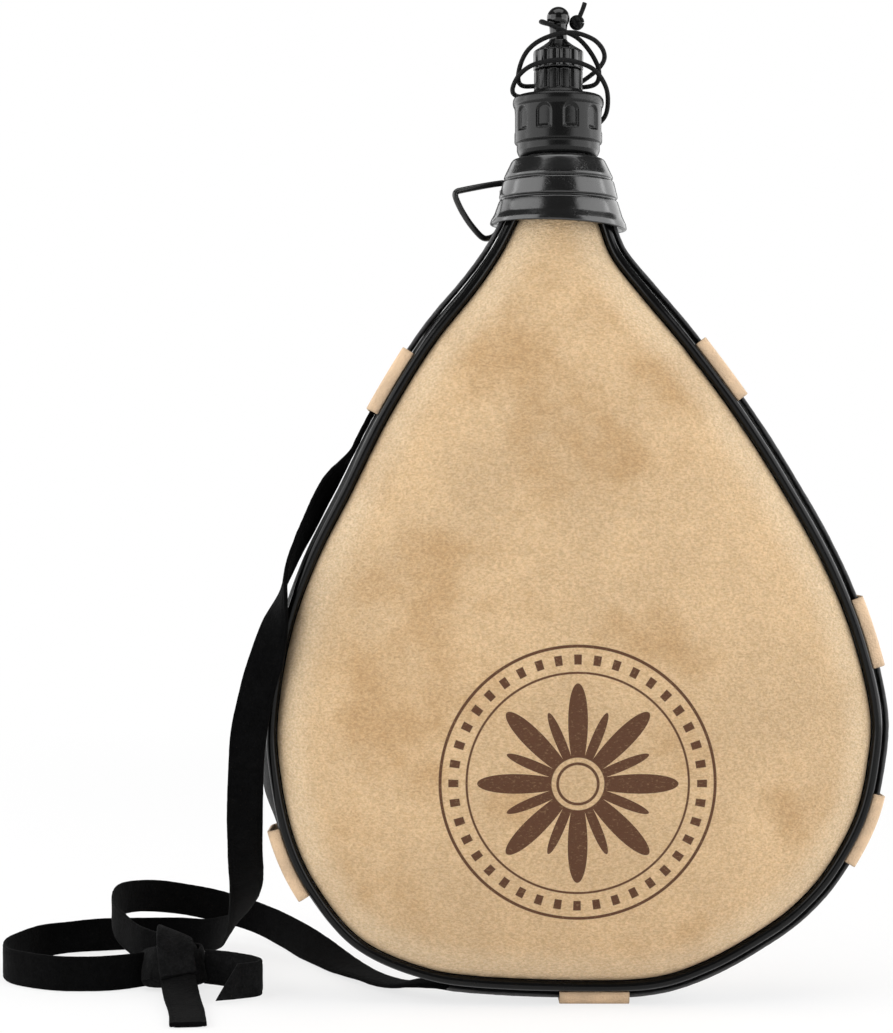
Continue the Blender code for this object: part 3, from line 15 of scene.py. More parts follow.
import bmesh
import bpy
import numpy as np
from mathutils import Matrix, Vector, noise
from mathutils.kdtree import KDTree


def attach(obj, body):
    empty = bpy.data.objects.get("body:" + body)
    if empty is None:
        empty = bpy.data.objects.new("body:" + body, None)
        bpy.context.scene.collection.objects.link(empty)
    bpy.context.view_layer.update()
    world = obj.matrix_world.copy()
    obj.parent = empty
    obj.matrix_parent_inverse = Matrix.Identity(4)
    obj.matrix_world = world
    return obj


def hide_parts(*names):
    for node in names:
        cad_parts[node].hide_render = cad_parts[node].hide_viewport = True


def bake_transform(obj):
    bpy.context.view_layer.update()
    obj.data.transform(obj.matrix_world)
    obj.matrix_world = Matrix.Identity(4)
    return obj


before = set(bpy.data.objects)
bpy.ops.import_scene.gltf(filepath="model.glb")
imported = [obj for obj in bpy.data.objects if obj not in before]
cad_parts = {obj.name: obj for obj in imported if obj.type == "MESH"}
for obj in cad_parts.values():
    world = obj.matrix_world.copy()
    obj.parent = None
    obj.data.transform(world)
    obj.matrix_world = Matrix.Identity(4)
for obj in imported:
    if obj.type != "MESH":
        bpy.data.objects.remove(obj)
LOG = logging.getLogger("bag")

NECK_X = -0.0117
DEPTH_AXIS = np.array([0.0, 1.0, 0.0])
UPRIGHT = (0.0, 0.0, 1.0)
SAMPLES_PER_POINT = 24
WELD_DISTANCE = 0.000002
ROUND_LIMIT = 0.45
ROUND_SHARES = (0.0, 0.33, 0.67, 1.0)
GROOVE_RADIUS = 0.0010
GROOVE_LIFT = 0.0003
# Middles of the strap loops, as shares of the outline's length
LOOP_SHARES = {
    "loop_left_upper": 0.115, "loop_left_middle": 0.255, "loop_left_lower": 0.350,
    "loop_right_lower": 0.660, "loop_right_middle": 0.750, "loop_right_upper": 0.890}
Array = np.ndarray
Socket = bpy.types.NodeSocket
Cage = bmesh.types.BMesh
Pair = tuple[float, float]
Triple = tuple[float, float, float]
Route = tuple[tuple[Triple, Triple], ...]
Place = Callable[[Array, Array], Array]
Ways = Callable[[Array], Array]
Shaping = Callable[[Array, Array, Array], tuple[Array, Array]]
Relief = Callable[[Array, Array, Array], Array]


class Body(str, Enum):
    """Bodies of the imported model."""

    BAG = "bag"
    CAP_LIFT = "cap_lift"
    CAP = "cap"
    STOPPER_LIFT = "stopper_lift"
    STOPPER = "stopper"
    HANG_LOOP = "hang_loop"


class Slot(str, Enum):
    """Material slots of the record."""

    TAN_LEATHER = "tan_leather"
    LOOP_LEATHER = "loop_leather"
    GUSSET = "gusset_fabric"
    BEAD = "edge_bead"
    STRAP = "strap_suede"
    PLASTIC = "closure_plastic"
    CORD = "cord"
    LINER = "liner_rubber"
    CLAMP = "clamp_steel"
    SEAL = "seal_rubber"
    SPOUT = "spout_plastic"
    WIRE = "wire"


class Side(Enum):
    """Sides of the bag along Y."""

    FRONT = -1
    BACK = 1


# Lines and meshes


class Track:
    """A smooth line through points, read by the distance along it."""

    def __init__(self, points: Sequence[Sequence[float]],
                 values: Sequence[Sequence[float]] | None = None) -> None:
        """Sample the line.

        Args:
            points: The points that the line runs through.
            values: What goes with each point, such as the way a strap's width points.
        """
        self.places = self.sample(points)
        self.values = self.places if values is None else self.sample(values)
        steps = np.linalg.norm(np.diff(self.places, axis=0), axis=1)
        self.reached = np.concatenate([[0.0], np.cumsum(steps)])
        self.length = float(self.reached[-1])
        ways = np.gradient(self.places, self.reached, axis=0)
        self.ways = ways / np.linalg.norm(ways, axis=1)[:, None]

    @staticmethod
    def sample(points: Sequence[Sequence[float]]) -> Array:
        """Read many places from a smooth curve.

        Args:
            points: The points that the curve runs through.

        Returns:
            The places, one a row.
        """
        known = np.array(points, dtype=float)
        chain = np.vstack([2 * known[0] - known[1], known, 2 * known[-1] - known[-2]])
        steps = np.linspace(0, 1, SAMPLES_PER_POINT, endpoint=False)[:, None]
        pieces = []
        for before, start, end, after in zip(chain, chain[1:], chain[2:], chain[3:]):
            first = (end - before) * steps
            second = (2 * before - 5 * start + 4 * end - after) * steps ** 2
            third = (3 * start - before - 3 * end + after) * steps ** 3
            pieces.append((2 * start + first + second + third) / 2)
        return np.vstack([*pieces, known[-1:]])

    def read(self, table: Array, distance: Array) -> Array:
        """Read rows of a table at distances."""
        return np.stack([np.interp(distance, self.reached, column) for column in table.T], -1)

    def place(self, distance: Array) -> Array:
        """Give the points at distances."""
        return self.read(self.places, distance)

    def way(self, distance: Array) -> Array:
        """Give the way that the line runs at distances."""
        return unit(self.read(self.ways, distance))

    def value(self, distance: Array) -> Array:
        """Give what goes with distances."""
        return self.read(self.values, distance)

    def centres(self, rows: int) -> list[list[float]]:
        """Give the middles of a swept band's rings."""
        return self.place(np.linspace(0.0, self.length, rows + 1)).tolist()


def unit(rows: Array) -> Array:
    """Give each row the length 1."""
    return rows / np.linalg.norm(rows, axis=-1, keepdims=True)


def ease(value: Array, low: float, high: float) -> Array:
    """Run smoothly from 0 at low to 1 at high."""
    share = np.clip((value - low) / (high - low), 0.0, 1.0)
    return share * share * (3 - 2 * share)


def unevenness(places: Array, scale: float, seed: float) -> Array:
    """Give smooth noise from about -1 to 1 at places, with scale waves a metre."""
    shift = Vector((seed, seed * 1.7, seed * 2.3))
    return np.array([noise.noise(Vector(place) * scale + shift) for place in places])


def soften(corners: Sequence[tuple[float, float]], radius: float,
           closed: bool = True) -> Array:
    """Round the corners of an outline.

    Args:
        corners: Points of the outline.
        radius: How far a corner's round reaches along each side.
        closed: Whether the outline runs back to its first point.

    Returns:
        The rounded outline's points, one a row.
    """
    known = np.array(corners, dtype=float)
    rounded = []
    last = len(known) - 1
    for index, corner in enumerate(known):
        if not closed and index in (0, last):
            rounded.append(corner)
            continue
        before = known[index - 1] - corner
        after = known[(index + 1) % len(known)] - corner
        before_length = np.linalg.norm(before)
        after_length = np.linalg.norm(after)
        start = corner + before / before_length * min(radius, before_length * ROUND_LIMIT)
        end = corner + after / after_length * min(radius, after_length * ROUND_LIMIT)
        for share in ROUND_SHARES:
            bend = (start * (1 - share) ** 2 + corner * 2 * share * (1 - share)
                    + end * share ** 2)
            rounded.append(bend)
    if closed:
        rounded.append(rounded[0])
    return np.array(rounded)


def split_long(outline: Array, step: float) -> Array:
    """Add points to an outline until no stretch is longer than a step.

    Args:
        outline: Points, one a row.
        step: The longest stretch.

    Returns:
        The old and new points, one a row.
    """
    rows = [outline[0]]
    for start, end in zip(outline, outline[1:]):
        count = max(1, math.ceil(float(np.linalg.norm(end - start)) / step))
        rows += [start + (end - start) * index / count for index in range(1, count + 1)]
    return np.array(rows)


def mapped_grid(columns: int, rows: int, place: Place, width: float = 1.0,
                length: float = 1.0) -> Cage:
    """Make a grid, move its points to their places and give it a map in metres.

    Args:
        columns: Faces across.
        rows: Faces along.
        place: Gives the places that belong to shares across and along.
        width: Size of the surface across, for its map.
        length: Size of the surface along, for its map.

    Returns:
        The grid, welded where its sides meet.
    """
    cage = bmesh.new()
    layer = cage.loops.layers.uv.new("surface")
    bmesh.ops.create_grid(cage, x_segments=columns, y_segments=rows, size=0.5)
    shares = np.array([vertex.co[:2] for vertex in cage.verts]) + 0.5
    for face in cage.faces:
        for corner in face.loops:
            across, along = shares[corner.vert.index]
            corner[layer].uv = (across * width, along * length)
    for vertex, spot in zip(cage.verts, place(shares[:, 0], shares[:, 1])):
        vertex.co = spot
    bmesh.ops.remove_doubles(cage, verts=cage.verts, dist=WELD_DISTANCE)
    bmesh.ops.dissolve_degenerate(cage, edges=cage.edges, dist=WELD_DISTANCE)
    return cage


def ring_angle(share: Array, count: int) -> Array:
    """Give angles whose last is the same as the first, so that a ring closes."""
    return np.rint(share * count) % count / count * math.tau


def close_ends(cage: Cage) -> None:
    """Fill open ends and turn every face outwards.

    Args:
        cage: The mesh to close.
    """
    rims = [edge for edge in cage.edges if edge.is_boundary]
    bmesh.ops.holes_fill(cage, edges=rims, sides=0)
    bmesh.ops.recalc_face_normals(cage, faces=cage.faces)


def round_section(count: int, width: float, thickness: float,
                  squareness: float) -> Callable[[Array], tuple[Array, Array]]:
    """Make the section of a band, as a squared oval.

    Args:
        count: Points round the section.
        width: Size across.
        thickness: Size through.
        squareness: 1 for an oval, less for a squarer one.

    Returns:
        A function from the share round the section to its offsets across and through.
    """
    def section(share: Array) -> tuple[Array, Array]:
        """Give the section's offsets.

        Args:
            share: Shares round the section.

        Returns:
            Offsets across and through.
        """
        angle = ring_angle(share, count)
        across = np.sign(np.cos(angle)) * np.abs(np.cos(angle)) ** squareness
        through = np.sign(np.sin(angle)) * np.abs(np.sin(angle)) ** squareness
        return across * width / 2, through * thickness / 2

    return section


def steady(way: Sequence[float]) -> Ways:
    """Triple a band's width the same way at every distance."""
    return lambda distance: np.broadcast_to(np.array(way), (len(distance), 3))


def swept(track: Track, around: int, rows: int, width: float, thickness: float,
          squareness: float, across_way: Ways, shaping: Shaping | None = None) -> Cage:
    """Sweep a band's section along a line.

    Args:
        track: The line.
        around: Faces round the section.
        rows: Faces along the line.
        width: Size across.
        thickness: Size through.
        squareness: 1 for an oval section, less for a squarer one.
        across_way: Gives the way that the width points at distances.
        shaping: Changes the offsets across and through at distances, if given.

    Returns:
        The band with closed ends.
    """
    section = round_section(around, width, thickness, squareness)

    def place(share: Array, down: Array) -> Array:
        """Put the band's points in their places.

        Args:
            share: Shares round the section.
            down: Shares along the line.

        Returns:
            The places, one a row.
        """
        distance = down * track.length
        along = track.way(distance)
        across = across_way(distance)
        across = unit(across - along * np.sum(across * along, -1, keepdims=True))
        through = np.cross(along, across)
        wide, thick = section(share)
        if shaping is not None:
            wide, thick = shaping(distance, wide, thick)
        return track.place(distance) + across * wide[:, None] + through * thick[:, None]

    cage = mapped_grid(around, rows, place, 2 * (width + thickness), track.length)
    close_ends(cage)
    return cage


def turned(outline: Array, around: int, relief: Relief | None = None,
           centre: Pair = (NECK_X, 0.0)) -> Cage:
    """Turn an outline of radius and height round an upright axis.

    Args:
        outline: Radius and height, one point a row.
        around: Faces round the axis.
        relief: Gives how far the surface sinks at angles, radii and heights, if given.
        centre: Place of the axis.

    Returns:
        The turned shape, closed and facing outwards.
    """
    cage = bmesh.new()
    cage.loops.layers.uv.new("surface")
    rim = [cage.verts.new((radius, 0.0, height)) for radius, height in outline]
    lines = [cage.edges.new(pair) for pair in zip(rim, rim[1:])]
    bmesh.ops.spin(cage, geom=rim + lines, cent=(0.0, 0.0, 0.0), axis=(0.0, 0.0, 1.0),
                   angle=math.tau, steps=around, use_merge=True)
    bmesh.ops.remove_doubles(cage, verts=cage.verts, dist=WELD_DISTANCE)
    if relief is not None:
        spots = np.array([vertex.co[:] for vertex in cage.verts])
        radius = np.hypot(spots[:, 0], spots[:, 1])
        sunk = relief(np.arctan2(spots[:, 1], spots[:, 0]), radius, spots[:, 2])
        shares = 1 - sunk / np.maximum(radius, WELD_DISTANCE)
        for vertex, share in zip(cage.verts, shares):
            vertex.co.xy *= share
    bmesh.ops.translate(cage, verts=cage.verts, vec=(*centre, 0.0))
    bmesh.ops.recalc_face_normals(cage, faces=cage.faces)
    return cage


def join_into(cage: Cage, *others: Cage) -> Cage:
    """Add other meshes to one, and free them.

    Args:
        cage: The mesh that stays.
        *others: The meshes to add.

    Returns:
        The first mesh.
    """
    for other in others:
        spare = bpy.data.meshes.new("spare")
        other.to_mesh(spare)
        other.free()
        cage.from_mesh(spare)
        bpy.data.meshes.remove(spare)
    return cage


def face_away(cage: Cage, face: bmesh.types.BMFace, centre: Triple) -> None:
    """Turn a sheet over where one of its faces looks towards a point.

    Args:
        cage: The sheet.
        face: The face that tells.
        centre: The point, inside the bag.
    """
    away = face.calc_center_median() - Vector(centre)
    if face.normal.dot(away) < 0:
        bmesh.ops.reverse_faces(cage, faces=cage.faces)


def grip_grooves(angle: Array, count: int, radius: float) -> Array:
    """Give the depth of upright round grooves in a grip.

    Args:
        angle: Angles round the axis.
        count: How many grooves there are.
        radius: The grip's radius.

    Returns:
        The depth at each angle, 0 between the grooves.
    """
    pitch = math.tau / count
    turn = (angle + pitch / 2) % pitch - pitch / 2
    side = np.abs(turn) * radius
    groove = np.sqrt(np.maximum(GROOVE_RADIUS ** 2 - side ** 2, 0.0)) - GROOVE_LIFT
    return np.maximum(groove, 0.0)


# Node graphs


class Graph:
    """A node tree under construction."""

    def __init__(self, tree: bpy.types.NodeTree) -> None:
        """Work on a tree."""
        self.tree = tree

    def put(self, target: Socket, value: Any) -> None:
        """Link a socket to a target, or set the target to a plain value.

        Args:
            target: The socket that takes the value.
            value: Another node's output, or a plain value.
        """
        if isinstance(value, Socket):
            self.tree.links.new(value, target)
        else:
            target.default_value = value

    def node(self, kind: str, inputs: dict[Any, Any] | None = None,
             **settings: Any) -> bpy.types.Node:
        """Add a node, set its properties and fill its inputs.

        Args:
            kind: Blender's name for this kind of node.
            inputs: What goes into inputs, by name or place.
            **settings: The node's properties.

        Returns:
            The new node.
        """
        made = self.tree.nodes.new(kind)
        for key, value in settings.items():
            setattr(made, key, value)
        for key, value in (inputs or {}).items():
            self.put(made.inputs[key], value)
        return made

    def calc(self, operation: str, *values: Any) -> Socket:
        """Add a maths node."""
        made = self.node("ShaderNodeMath", dict(enumerate(values)), operation=operation)
        return made.outputs[0]

    def times(self, first: Any, second: Any) -> Socket:
        """Multiply two values."""
        return self.calc("MULTIPLY", first, second)

    def noise(self, vector: Any, scale: Any, detail: float = 3.0,
              rough: float = 0.55) -> Socket:
        """Add a noise texture and give its value."""
        inputs = {"Vector": vector, "Scale": scale, "Detail": detail, "Roughness": rough}
        return self.node("ShaderNodeTexNoise", inputs).outputs["Fac"]

    def cells(self, vector: Any, scale: Any) -> Socket:
        """Add a Voronoi texture and give the distance to its cells' middles."""
        inputs = {"Vector": vector, "Scale": scale}
        return self.node("ShaderNodeTexVoronoi", inputs).outputs["Distance"]

    def span(self, value: Any, low: Any, high: Any, start: float = 0.0,
             end: float = 1.0) -> Socket:
        """Move a value smoothly from one span to another."""
        made = self.node("ShaderNodeMapRange", dict(enumerate((value, low, high, start, end))),
                         interpolation_type="SMOOTHSTEP")
        return made.outputs["Result"]

    def mix(self, share: Any, first: Any, second: Any, blend: str = "MIX") -> Socket:
        """Mix two colours."""
        made = self.node("ShaderNodeMix", {0: share, 6: first, 7: second}, data_type="RGBA",
                         blend_type=blend)
        return made.outputs[2]

    def scaled(self, colour: Any, value: Any) -> Socket:
        """Multiply a colour by a value."""
        made = self.node("ShaderNodeVectorMath", {0: colour, "Scale": value}, operation="SCALE")
        return made.outputs[0]

    def bump(self, height: Any, distance: float, *base: Any) -> Socket:
        """Turn a height into a normal, on top of another normal where one is given."""
        inputs = dict(zip(("Height", "Distance", "Normal"), (height, distance, *base)))
        return self.node("ShaderNodeBump", inputs).outputs["Normal"]

    def group(self, tree: bpy.types.NodeTree, **values: Any) -> dict[str, Socket]:
        """Place a group and give its outputs by name."""
        inputs = {key.title(): value for key, value in values.items()}
        return dict(self.node("ShaderNodeGroup", inputs, node_tree=tree).outputs.items())

    def coordinates(self) -> Socket:
        """Give the object's own coordinates."""
        return self.node("ShaderNodeTexCoord").outputs["Object"]

    def surface_map(self) -> Socket:
        """Give the surface map, in metres."""
        return self.node("ShaderNodeUVMap", uv_map="surface").outputs["UV"]

    def split(self, vector: Any) -> tuple[Socket, ...]:
        """Give the three parts of a vector."""
        return tuple(self.node("ShaderNodeSeparateXYZ", {0: vector}).outputs)


class Effects:
    """Node groups that more than one finish uses, each built once."""

    @staticmethod
    def start(name: str, inputs: Sequence[str],
              outputs: Sequence[str]) -> tuple[Graph, list[Socket], bpy.types.Node]:
        """Open a new group, which takes a vector first and plain values after it.

        Args:
            name: The group's name.
            inputs: The inputs' names.
            outputs: The names of the outputs, which are all plain values.

        Returns:
            The graph, what comes in, and the group's output node.
        """
        tree = bpy.data.node_groups.new(name, "ShaderNodeTree")
        for label in inputs:
            kind = "NodeSocketVector" if label == inputs[0] else "NodeSocketFloat"
            tree.interface.new_socket(label, in_out="INPUT", socket_type=kind)
        for label in outputs:
            tree.interface.new_socket(label, in_out="OUTPUT", socket_type="NodeSocketFloat")
        graph = Graph(tree)
        given = graph.node("NodeGroupInput").outputs
        return graph, [given[label] for label in inputs], graph.node("NodeGroupOutput")

    @cache
    def nap(self) -> bpy.types.NodeTree:
        """Give the short nap of suede: fine tufts with a tone and a height.

        Returns:
            The group.
        """
        graph, (vector, scale), out = self.start("nap", ("Vector", "Scale"),
                                                 ("Tone", "Height"))
        fine = graph.noise(vector, scale, 4.0, 0.7)
        coarse = graph.noise(vector, graph.times(scale, 0.28), 3.0, 0.6)
        tufts = graph.calc("ADD", graph.times(fine, 0.6), graph.times(coarse, 0.4))
        graph.put(out.inputs["Tone"], graph.span(tufts, 0.32, 0.68))
        graph.put(out.inputs["Height"], tufts)
        return graph.tree

    @cache
    def mottle(self) -> bpy.types.NodeTree:
        """Give large soft patches of a lighter and darker tone.

        Returns:
            The group.
        """
        graph, (vector, scale), out = self.start("mottle", ("Vector", "Scale"), ("Tone",))
        wide = graph.noise(vector, scale, 2.0, 0.5)
        near = graph.noise(vector, graph.times(scale, 4.3), 4.0, 0.6)
        both = graph.calc("ADD", graph.times(wide, 0.65), graph.times(near, 0.35))
        graph.put(out.inputs["Tone"], graph.span(both, 0.34, 0.66))
        return graph.tree

    @cache
    def weave(self) -> bpy.types.NodeTree:
        """Give a plain weave on a surface map, with a height and a tone that paints shade where the
        threads dip.

        Returns:
            The group.
        """
        graph, (surface, threads, slant), out = self.start(
            "weave", ("Map", "Threads", "Slant"), ("Tone", "Height"))
        across, along, _ = graph.split(surface)
        lean = graph.times(along, slant)
        first = graph.times(graph.calc("ADD", across, lean), threads)
        second = graph.times(graph.calc("SUBTRACT", along, lean), threads)
        wave = graph.times(graph.calc("SINE", graph.times(first, math.pi)),
                           graph.calc("SINE", graph.times(second, math.pi)))
        ribs = graph.calc("ABSOLUTE", wave)
        graph.put(out.inputs["Height"], graph.calc("POWER", ribs, 0.6))
        # Tone: painted shade in the dips between the threads, lighter on their crowns.
        graph.put(out.inputs["Tone"], graph.span(ribs, 0.0, 0.8))
        return graph.tree

    @cache
    def rub(self) -> bpy.types.NodeTree:
        """Give fine marks of handling, as a mask and a height.

        Returns:
            The group.
        """
        graph, (vector, scale), out = self.start("rub", ("Vector", "Scale"),
                                                 ("Mask", "Height"))
        cloud = graph.noise(vector, scale, 5.0, 0.65)
        specks = graph.noise(vector, graph.times(scale, 12.0), 2.0, 0.5)
        mask = graph.times(graph.span(cloud, 0.42, 0.72), graph.span(specks, 0.35, 0.75))
        graph.put(out.inputs["Mask"], mask)
        graph.put(out.inputs["Height"], specks)
        return graph.tree


EFFECTS = Effects()


# Finishes


@dataclass(frozen=True)
class Finish:
    """What every finish has: a name, a colour and how rough it is."""

    name: str
    colour: Triple
    roughness: float = 0.5

    def material(self) -> bpy.types.Material:
        """Give the finish's material, built once.

        Returns:
            The material.
        """
        known = bpy.data.materials.get(self.name)
        if known is not None:
            return known
        made = bpy.data.materials.new(self.name)
        made.use_nodes = True
        made.diffuse_color = (*self.colour, 1.0)
        graph = Graph(made.node_tree)
        shader = made.node_tree.nodes["Principled BSDF"]
        shader.inputs["Roughness"].default_value = self.roughness
        self.dress(graph, shader)
        return made

    def tone(self, scale: float) -> tuple[float, float, float, float]:
        """Give the colour, lighter or darker by a scale."""
        return (*(min(1.0, part * scale) for part in self.colour), 1.0)

    def dress(self, graph: Graph, shader: bpy.types.Node) -> None:
        """Add the finish's nodes."""
        graph.put(shader.inputs["Base Color"], self.tone(1.0))


@dataclass(frozen=True)
class Ornament:
    """A round ornament of plain rings, bars and a star, printed on the front panel."""

    centre_x: float = -0.0067
    centre_z: float = 0.0765
    radius: float = 0.0458
    rings: tuple[Pair, ...] = ((0.985, 0.011), (0.795, 0.008), (0.145, 0.010))
    bars: int = 40
    bar_ring: Pair = (0.89, 0.036)
    bar_edge: Pair = (0.25, 0.45)
    points: int = 8
    long_points: Pair = (0.72, 2.2)
    short_points: Pair = (0.55, 5.0)
    star_start: Pair = (0.185, 0.192)
    softness: float = 0.003

    def mask(self, graph: Graph, vector: Socket) -> Socket:
        """Give where the ornament is printed.

        Args:
            graph: The material's graph.
            vector: The object's coordinates.

        Returns:
            A value of 1 in the print and 0 beside it.
        """
        across, depth, height = graph.split(vector)
        side = graph.calc("DIVIDE", graph.calc("SUBTRACT", across, self.centre_x), self.radius)
        rise = graph.calc("DIVIDE", graph.calc("SUBTRACT", height, self.centre_z), self.radius)
        reach = graph.calc("SQRT", graph.calc("ADD", graph.times(side, side),
                                              graph.times(rise, rise)))
        angle = graph.calc("ARCTAN2", rise, side)
        shapes = [self.ring(graph, reach, *ring) for ring in self.rings]
        beat = graph.calc("COSINE", graph.times(angle, float(self.bars)))
        shapes.append(graph.times(graph.span(beat, *self.bar_edge),
                                  self.ring(graph, reach, *self.bar_ring)))
        shapes.append(self.star(graph, reach, angle, 0.0, *self.long_points))
        shapes.append(self.star(graph, reach, angle, math.pi / self.points,
                                *self.short_points))
        total = shapes[0]
        for shape in shapes[1:]:
            total = graph.calc("MAXIMUM", total, shape)
        front = graph.calc("LESS_THAN", depth, 0.0)
        return graph.times(total, front)

    def ring(self, graph: Graph, reach: Socket, radius: float, half_width: float) -> Socket:
        """Give a ring with soft edges."""
        off = graph.calc("ABSOLUTE", graph.calc("SUBTRACT", reach, radius))
        return graph.span(off, half_width + self.softness, half_width - self.softness)

    def star(self, graph: Graph, reach: Socket, angle: Socket, turn: float, length: float,
             sharpness: float) -> Socket:
        """Give a star whose points start outside the inner ring.

        Args:
            graph: The material's graph.
            reach: Share of the radius.
            angle: Angle round the middle.
            turn: Turns the star.
            length: Reach of its points.
            sharpness: More makes them thin.

        Returns:
            A value of 1 in the star and 0 beside it.
        """
        half = graph.times(graph.calc("ADD", angle, turn), self.points / 2)
        lobe = graph.calc("POWER", graph.calc("ABSOLUTE", graph.calc("COSINE", half)), sharpness)
        edge = graph.calc("SUBTRACT", graph.times(lobe, length), reach)
        return graph.times(graph.span(edge, -self.softness, self.softness),
                           graph.span(reach, *self.star_start))


@dataclass(frozen=True)
class SuedePanel(Finish):
    """Light suede with cloudy patches, a fine nap and a print in front."""

    print_colour: Triple = (0.098, 0.040, 0.020)
    pale_seam_colour: Triple = (0.76, 0.60, 0.41)
    stain_colour: Triple = (0.555, 0.355, 0.178)
    ornament: Ornament = field(default_factory=Ornament)
    flake_scale: float = 1600.0
    nap_scale: float = 2100.0
    patch_scale: float = 15.0
    stain_scale: float = 27.0
    fold_scale: float = 260.0
    lean: Triple = (0.55, 1.0, 1.0)
    stain_share: float = 0.90
    pale_reach: Pair = (0.0140, 0.0040)
    pale_share: float = 0.55
    shade_reach: Pair = (0.0022, 0.0002)
    shade_share: float = 0.55
    thin_grain: tuple[float, ...] = (0.89, 0.86, 0.81, 1.0)
    full_grain: tuple[float, ...] = (1.07, 1.09, 1.12, 1.0)
    fold_rise: float = 0.00035
    flake_rise: float = 0.0009
    nap_rise: float = 0.00016

    def dress(self, graph: Graph, shader: bpy.types.Node) -> None:
        """Add patches, nap, seam shade and print.

        Args:
            graph: The material's graph.
            shader: Its surface shader.
        """
        vector = graph.coordinates()
        lean = graph.node("ShaderNodeMapping", {"Vector": vector, "Scale": self.lean})
        flakes = graph.noise(lean.outputs[0], self.flake_scale, 3.0, 0.62)
        nap = graph.group(EFFECTS.nap(), vector=vector, scale=self.nap_scale)
        cloud = graph.group(EFFECTS.mottle(), vector=vector, scale=self.patch_scale)
        seam = graph.node("ShaderNodeAttribute", attribute_name="seam_distance").outputs["Fac"]
        colour = graph.mix(cloud["Tone"], self.tone(0.90), self.tone(1.07))
        stain = graph.span(graph.noise(vector, self.stain_scale, 3.0, 0.55), 0.50, 0.70)
        colour = graph.mix(graph.times(stain, self.stain_share), colour,
                           (*self.stain_colour, 1.0))
        # Paler towards the seam; then painted shade in the last millimetres, where the panel meets
        # the bead.
        pale = graph.times(graph.span(seam, *self.pale_reach), self.pale_share)
        colour = graph.mix(pale, colour, (*self.pale_seam_colour, 1.0))
        shade = graph.times(graph.span(seam, *self.shade_reach), self.shade_share)
        colour = graph.mix(shade, colour, self.tone(0.45))
        grain = graph.mix(graph.span(flakes, 0.37, 0.63), self.thin_grain, self.full_grain)
        colour = graph.mix(1.0, colour, grain, "MULTIPLY")
        colour = graph.scaled(colour, graph.span(nap["Height"], 0.38, 0.62, 0.92, 1.08))
        ink = graph.times(self.ornament.mask(graph, vector),
                          graph.span(flakes, 0.30, 0.46, 0.80, 0.98))
        colour = graph.mix(ink, colour, (*self.print_colour, 1.0))
        graph.put(shader.inputs["Base Color"], colour)
        graph.put(shader.inputs["Roughness"], graph.span(nap["Tone"], 0.0, 1.0, 0.84, 0.98))
        shader.inputs["Specular IOR Level"].default_value = 0.2
        shader.inputs["Sheen Weight"].default_value = 0.03
        shader.inputs["Sheen Roughness"].default_value = 0.6
        wide = graph.bump(graph.noise(vector, self.fold_scale, 3.0, 0.6), self.fold_rise)
        rough = graph.bump(flakes, self.flake_rise, wide)
        graph.put(shader.inputs["Normal"], graph.bump(nap["Height"], self.nap_rise, rough))


@dataclass(frozen=True)
class LoopHide(Finish):
    """Smooth tan hide with grain, patches and a darker cut edge."""

    nap_scale: float = 2200.0
    patch_scale: float = 90.0
    pore_scale: float = 1300.0
    grain_rise: float = 0.00018

    def dress(self, graph: Graph, shader: bpy.types.Node) -> None:
        """Add grain, patches and edge shade.

        Args:
            graph: The material's graph.
            shader: Its surface shader.
        """
        vector = graph.coordinates()
        nap = graph.group(EFFECTS.nap(), vector=vector, scale=self.nap_scale)
        cloud = graph.group(EFFECTS.mottle(), vector=vector, scale=self.patch_scale)
        edge = graph.node("ShaderNodeAttribute", attribute_name="cut_nearness").outputs["Fac"]
        colour = graph.mix(cloud["Tone"], self.tone(0.86), self.tone(1.10))
        colour = graph.mix(graph.times(nap["Tone"], 0.3), colour, self.tone(0.78))
        colour = graph.mix(graph.times(edge, 0.55), colour, self.tone(0.52))
        graph.put(shader.inputs["Base Color"], colour)
        grain = graph.calc("ADD", nap["Height"], graph.cells(vector, self.pore_scale))
        graph.put(shader.inputs["Normal"], graph.bump(grain, self.grain_rise))
        graph.put(shader.inputs["Roughness"], graph.span(cloud["Tone"], 0.0, 1.0, 0.62, 0.78))


@dataclass(frozen=True)
class BrushedStrap(Finish):
    """Black brushed strap with a deep soft nap and grey lint."""

    nap_scale: float = 1100.0
    patch_scale: float = 120.0
    lint_scale: float = 2600.0
    nap_rise: float = 0.0006

    def dress(self, graph: Graph, shader: bpy.types.Node) -> None:
        """Add nap, lint and a soft sheen.

        Args:
            graph: The material's graph.
            shader: Its surface shader.
        """
        vector = graph.coordinates()
        nap = graph.group(EFFECTS.nap(), vector=vector, scale=self.nap_scale)
        cloud = graph.group(EFFECTS.mottle(), vector=vector, scale=self.patch_scale)
        lint = graph.span(graph.noise(vector, self.lint_scale, 2.0, 0.5), 0.66, 0.76)
        colour = graph.mix(nap["Tone"], self.tone(0.5), self.tone(1.7))
        colour = graph.mix(graph.times(cloud["Tone"], 0.5), colour, self.tone(0.7))
        colour = graph.mix(graph.times(lint, 0.35), colour, self.tone(9.0))
        graph.put(shader.inputs["Base Color"], colour)
        shader.inputs["Specular IOR Level"].default_value = 0.04
        shader.inputs["Sheen Weight"].default_value = 0.02
        shader.inputs["Sheen Roughness"].default_value = 0.35
        graph.put(shader.inputs["Normal"], graph.bump(nap["Height"], self.nap_rise))


